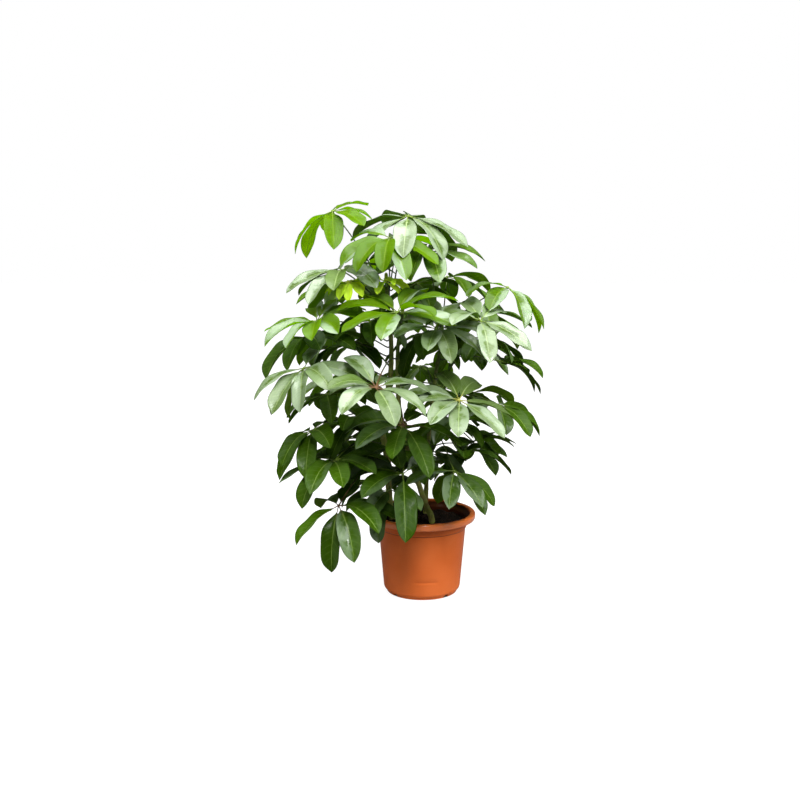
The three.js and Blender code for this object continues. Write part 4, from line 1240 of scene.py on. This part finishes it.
def soil_finish():
    """Dark peaty soil with reddish fibres and a few pale grits"""
    material, nodes, shader, _ = new_material("potting soil", {"Specular IOR Level": 0.15})
    blotch, grain = mottling(nodes, blotch_scale=70.0, grain_scale=900.0)
    cells = nodes.outputs("ShaderNodeTexVoronoi", {"Vector": nodes.object_place(), "Scale": 520.0})
    grit = nodes.out("ShaderNodeSeparateColor", {"Color": cells["Color"]})
    grit = nodes.ramp(grit, *SOIL_GRIT_REACH, 0.0, SOIL_GRIT_SHARE)
    colour = nodes.layers(SOIL_BLACK, (blotch * grain, SOIL_BROWN), (grit, SOIL_GRIT))
    dress(nodes, shader, colour, nodes.ramp(grain, *NOISE_SPAN, *SOIL_ROUGHNESS), grain, relief=0.002)
    return material


def pot_finish():
    """Terracotta-coloured plastic: faintly mottled, glossy at its rim, dusty near the floor; a lighter rim as
    painted light, and painted shade in thin lines under the rim and the band and on the wall inside
    """
    material, nodes, shader, _ = new_material("terracotta plastic", {
        "Specular IOR Level": 0.1, "Coat Roughness": 0.2})
    blotch, grain = mottling(nodes, blotch_scale=14.0, grain_scale=700.0)
    _, _, height = nodes.parts(nodes.object_place())
    dust = nodes.ramp(height, 0.0, POT_DUST_HEIGHT, 1.0, 0.0) * nodes.ramp(grain, *POT_DUST_GRAIN)
    rim_foot = POT_HEIGHT - RIM_DEPTH
    # The rim's mask gives the rim its coat, and its painted light: a lighter colour for the light that falls
    # on its top
    rim = nodes.ramp(height, rim_foot, rim_foot + POT_RIM_EDGE)
    # Painted shade: dark lines of colour under the rim and under the band
    shade_lines = [
        (nodes.ramp(abs(height - line), *POT_PAINTED_SHADE_EDGE, POT_PAINTED_SHADE_SHARE, 0.0), POT_PAINTED_SHADE)
        for line in POT_PAINTED_SHADE_LINES
    ]
    # Painted shade inside the pot, with a wavy upper edge
    edge = (blotch - 0.5) * POT_INSIDE_SHADE_WAVE + height
    inside_shade = nodes.ramp(edge, *POT_INSIDE_SHADE_EDGE, POT_INSIDE_SHADE_SHARE, 0.0)
    colour = nodes.layers(
        POT_DEEP,
        (blotch, POT_ORANGE),
        (dust * POT_DUST_SHARE, POT_DUST),
        (rim * POT_RIM_LIGHT_SHARE, POT_RIM_PAINTED_LIGHT),
        *shade_lines,
        (nodes.surface_value("inside") * inside_shade, POT_INSIDE_SHADE))
    nodes.feed(shader.inputs["Coat Weight"], rim)
    dress(nodes, shader, colour, nodes.ramp(blotch, 0.0, 1.0, *POT_ROUGHNESS), grain, relief=0.0002)
    return material


def floor_finish():
    """Floor that the camera sees nearly white; it gives the plant little light, and the pot some from near"""
    material, nodes, shader, _ = new_material("pale floor", {"Roughness": 0.6, "Emission Strength": 1.0})
    paths = nodes.outputs("ShaderNodeLightPath")
    flat = nodes.vector("MULTIPLY", nodes.object_place(), (1.0, 1.0, 0.0))
    away = nodes.outputs("ShaderNodeVectorMath", {0: flat}, operation="LENGTH")["Value"]
    beyond = nodes.ramp(away, *FLOOR_FOOT_EDGE)
    near = nodes.ramp(away, *FLOOR_NEAR_REACH, 1.0, 0.0) * beyond * paths["Is Diffuse Ray"]
    lift = nodes.ramp(away, *FLOOR_LIFT_REACH, FLOOR_LIFT, 1.0) * beyond * paths["Is Camera Ray"]
    glow = near * FLOOR_SHINE + lift
    pale = nodes.mixed(near * FLOOR_NEAR, FLOOR_DARK, FLOOR_WHITE)
    nodes.feed(shader.inputs["Base Color"], pale)
    nodes.feed(shader.inputs["Emission Color"], nodes.mixed(glow, (0, 0, 0), (1, 1, 1)))
    return material


# Camera, lights and floor

def make_camera():
    """The camera of the photograph, and its plain colours"""
    bpy.context.scene.view_settings.view_transform = "Standard"
    camera = bpy.data.cameras.new("camera")
    camera.lens, camera.sensor_width = CAMERA_LENS_MM, CAMERA_SENSOR_MM
    camera_object = link(bpy.data.objects.new("camera", camera))
    camera_object.location = CAMERA_PLACE
    camera_object.rotation_euler = (math.pi / 2 - CAMERA_DOWN, 0, 0)
    bpy.context.scene.camera = camera_object


def make_sky():
    """A dim soft dome that lights the plant, and plain white where the camera sees past the floor"""
    world = bpy.data.worlds.new("studio")
    bpy.context.scene.world = world
    world.use_nodes = True
    world.node_tree.nodes.clear()
    nodes = Nodes(world.node_tree)
    x, _, z = nodes.parts(nodes.outputs("ShaderNodeTexCoord")["Generated"])
    paths = nodes.outputs("ShaderNodeLightPath")
    sky = nodes.ramp(x * SKY_LEAN + z, *SKY_REACH, SKY_LOW, SKY_HIGH)
    gloss = nodes.ramp(paths["Is Glossy Ray"], 0.0, 1.0, 1.0, SKY_IN_GLOSS)
    white = (1, 1, 1, 1)
    dome = nodes.out("ShaderNodeBackground", {"Color": white, "Strength": sky * gloss})
    plain = nodes.out("ShaderNodeBackground", {"Color": white, "Strength": 1.0})
    seen = nodes.out("ShaderNodeMixShader", {"Fac": paths["Is Camera Ray"], 1: dome, 2: plain})
    nodes.add("ShaderNodeOutputWorld", {"Surface": seen})


def make_lamp(name, place, size, power, glossy):
    """A round soft box that looks at the middle of the plant"""
    light = bpy.data.lights.new(name, "AREA")
    light.shape, light.size, light.energy = "DISK", size, power
    lamp = link(bpy.data.objects.new(name, light))
    lamp.location = place
    lamp.rotation_euler = (LIGHT_TARGET - Vector(place)).to_track_quat("-Z", "Y").to_euler()
    lamp.visible_camera = False
    lamp.visible_glossy = glossy


def make_floor():
    signs = ((-1, -1), (1, -1), (1, 1), (-1, 1))
    floor = mesh_object("floor", [(x * FLOOR_SIZE, y * FLOOR_SIZE, 0) for x, y in signs], [(0, 1, 2, 3)])
    floor.data.materials.append(floor_finish())


MOTTLING = mottling_group()
LEAF_PATTERN = leaf_pattern_group()
make_camera()
make_sky()
for name, (place, size, power, glossy) in LAMPS.items():
    make_lamp(name, place, size, power, glossy)
make_floor()
make_pot()
make_soil()
make_stems()
make_leaves()
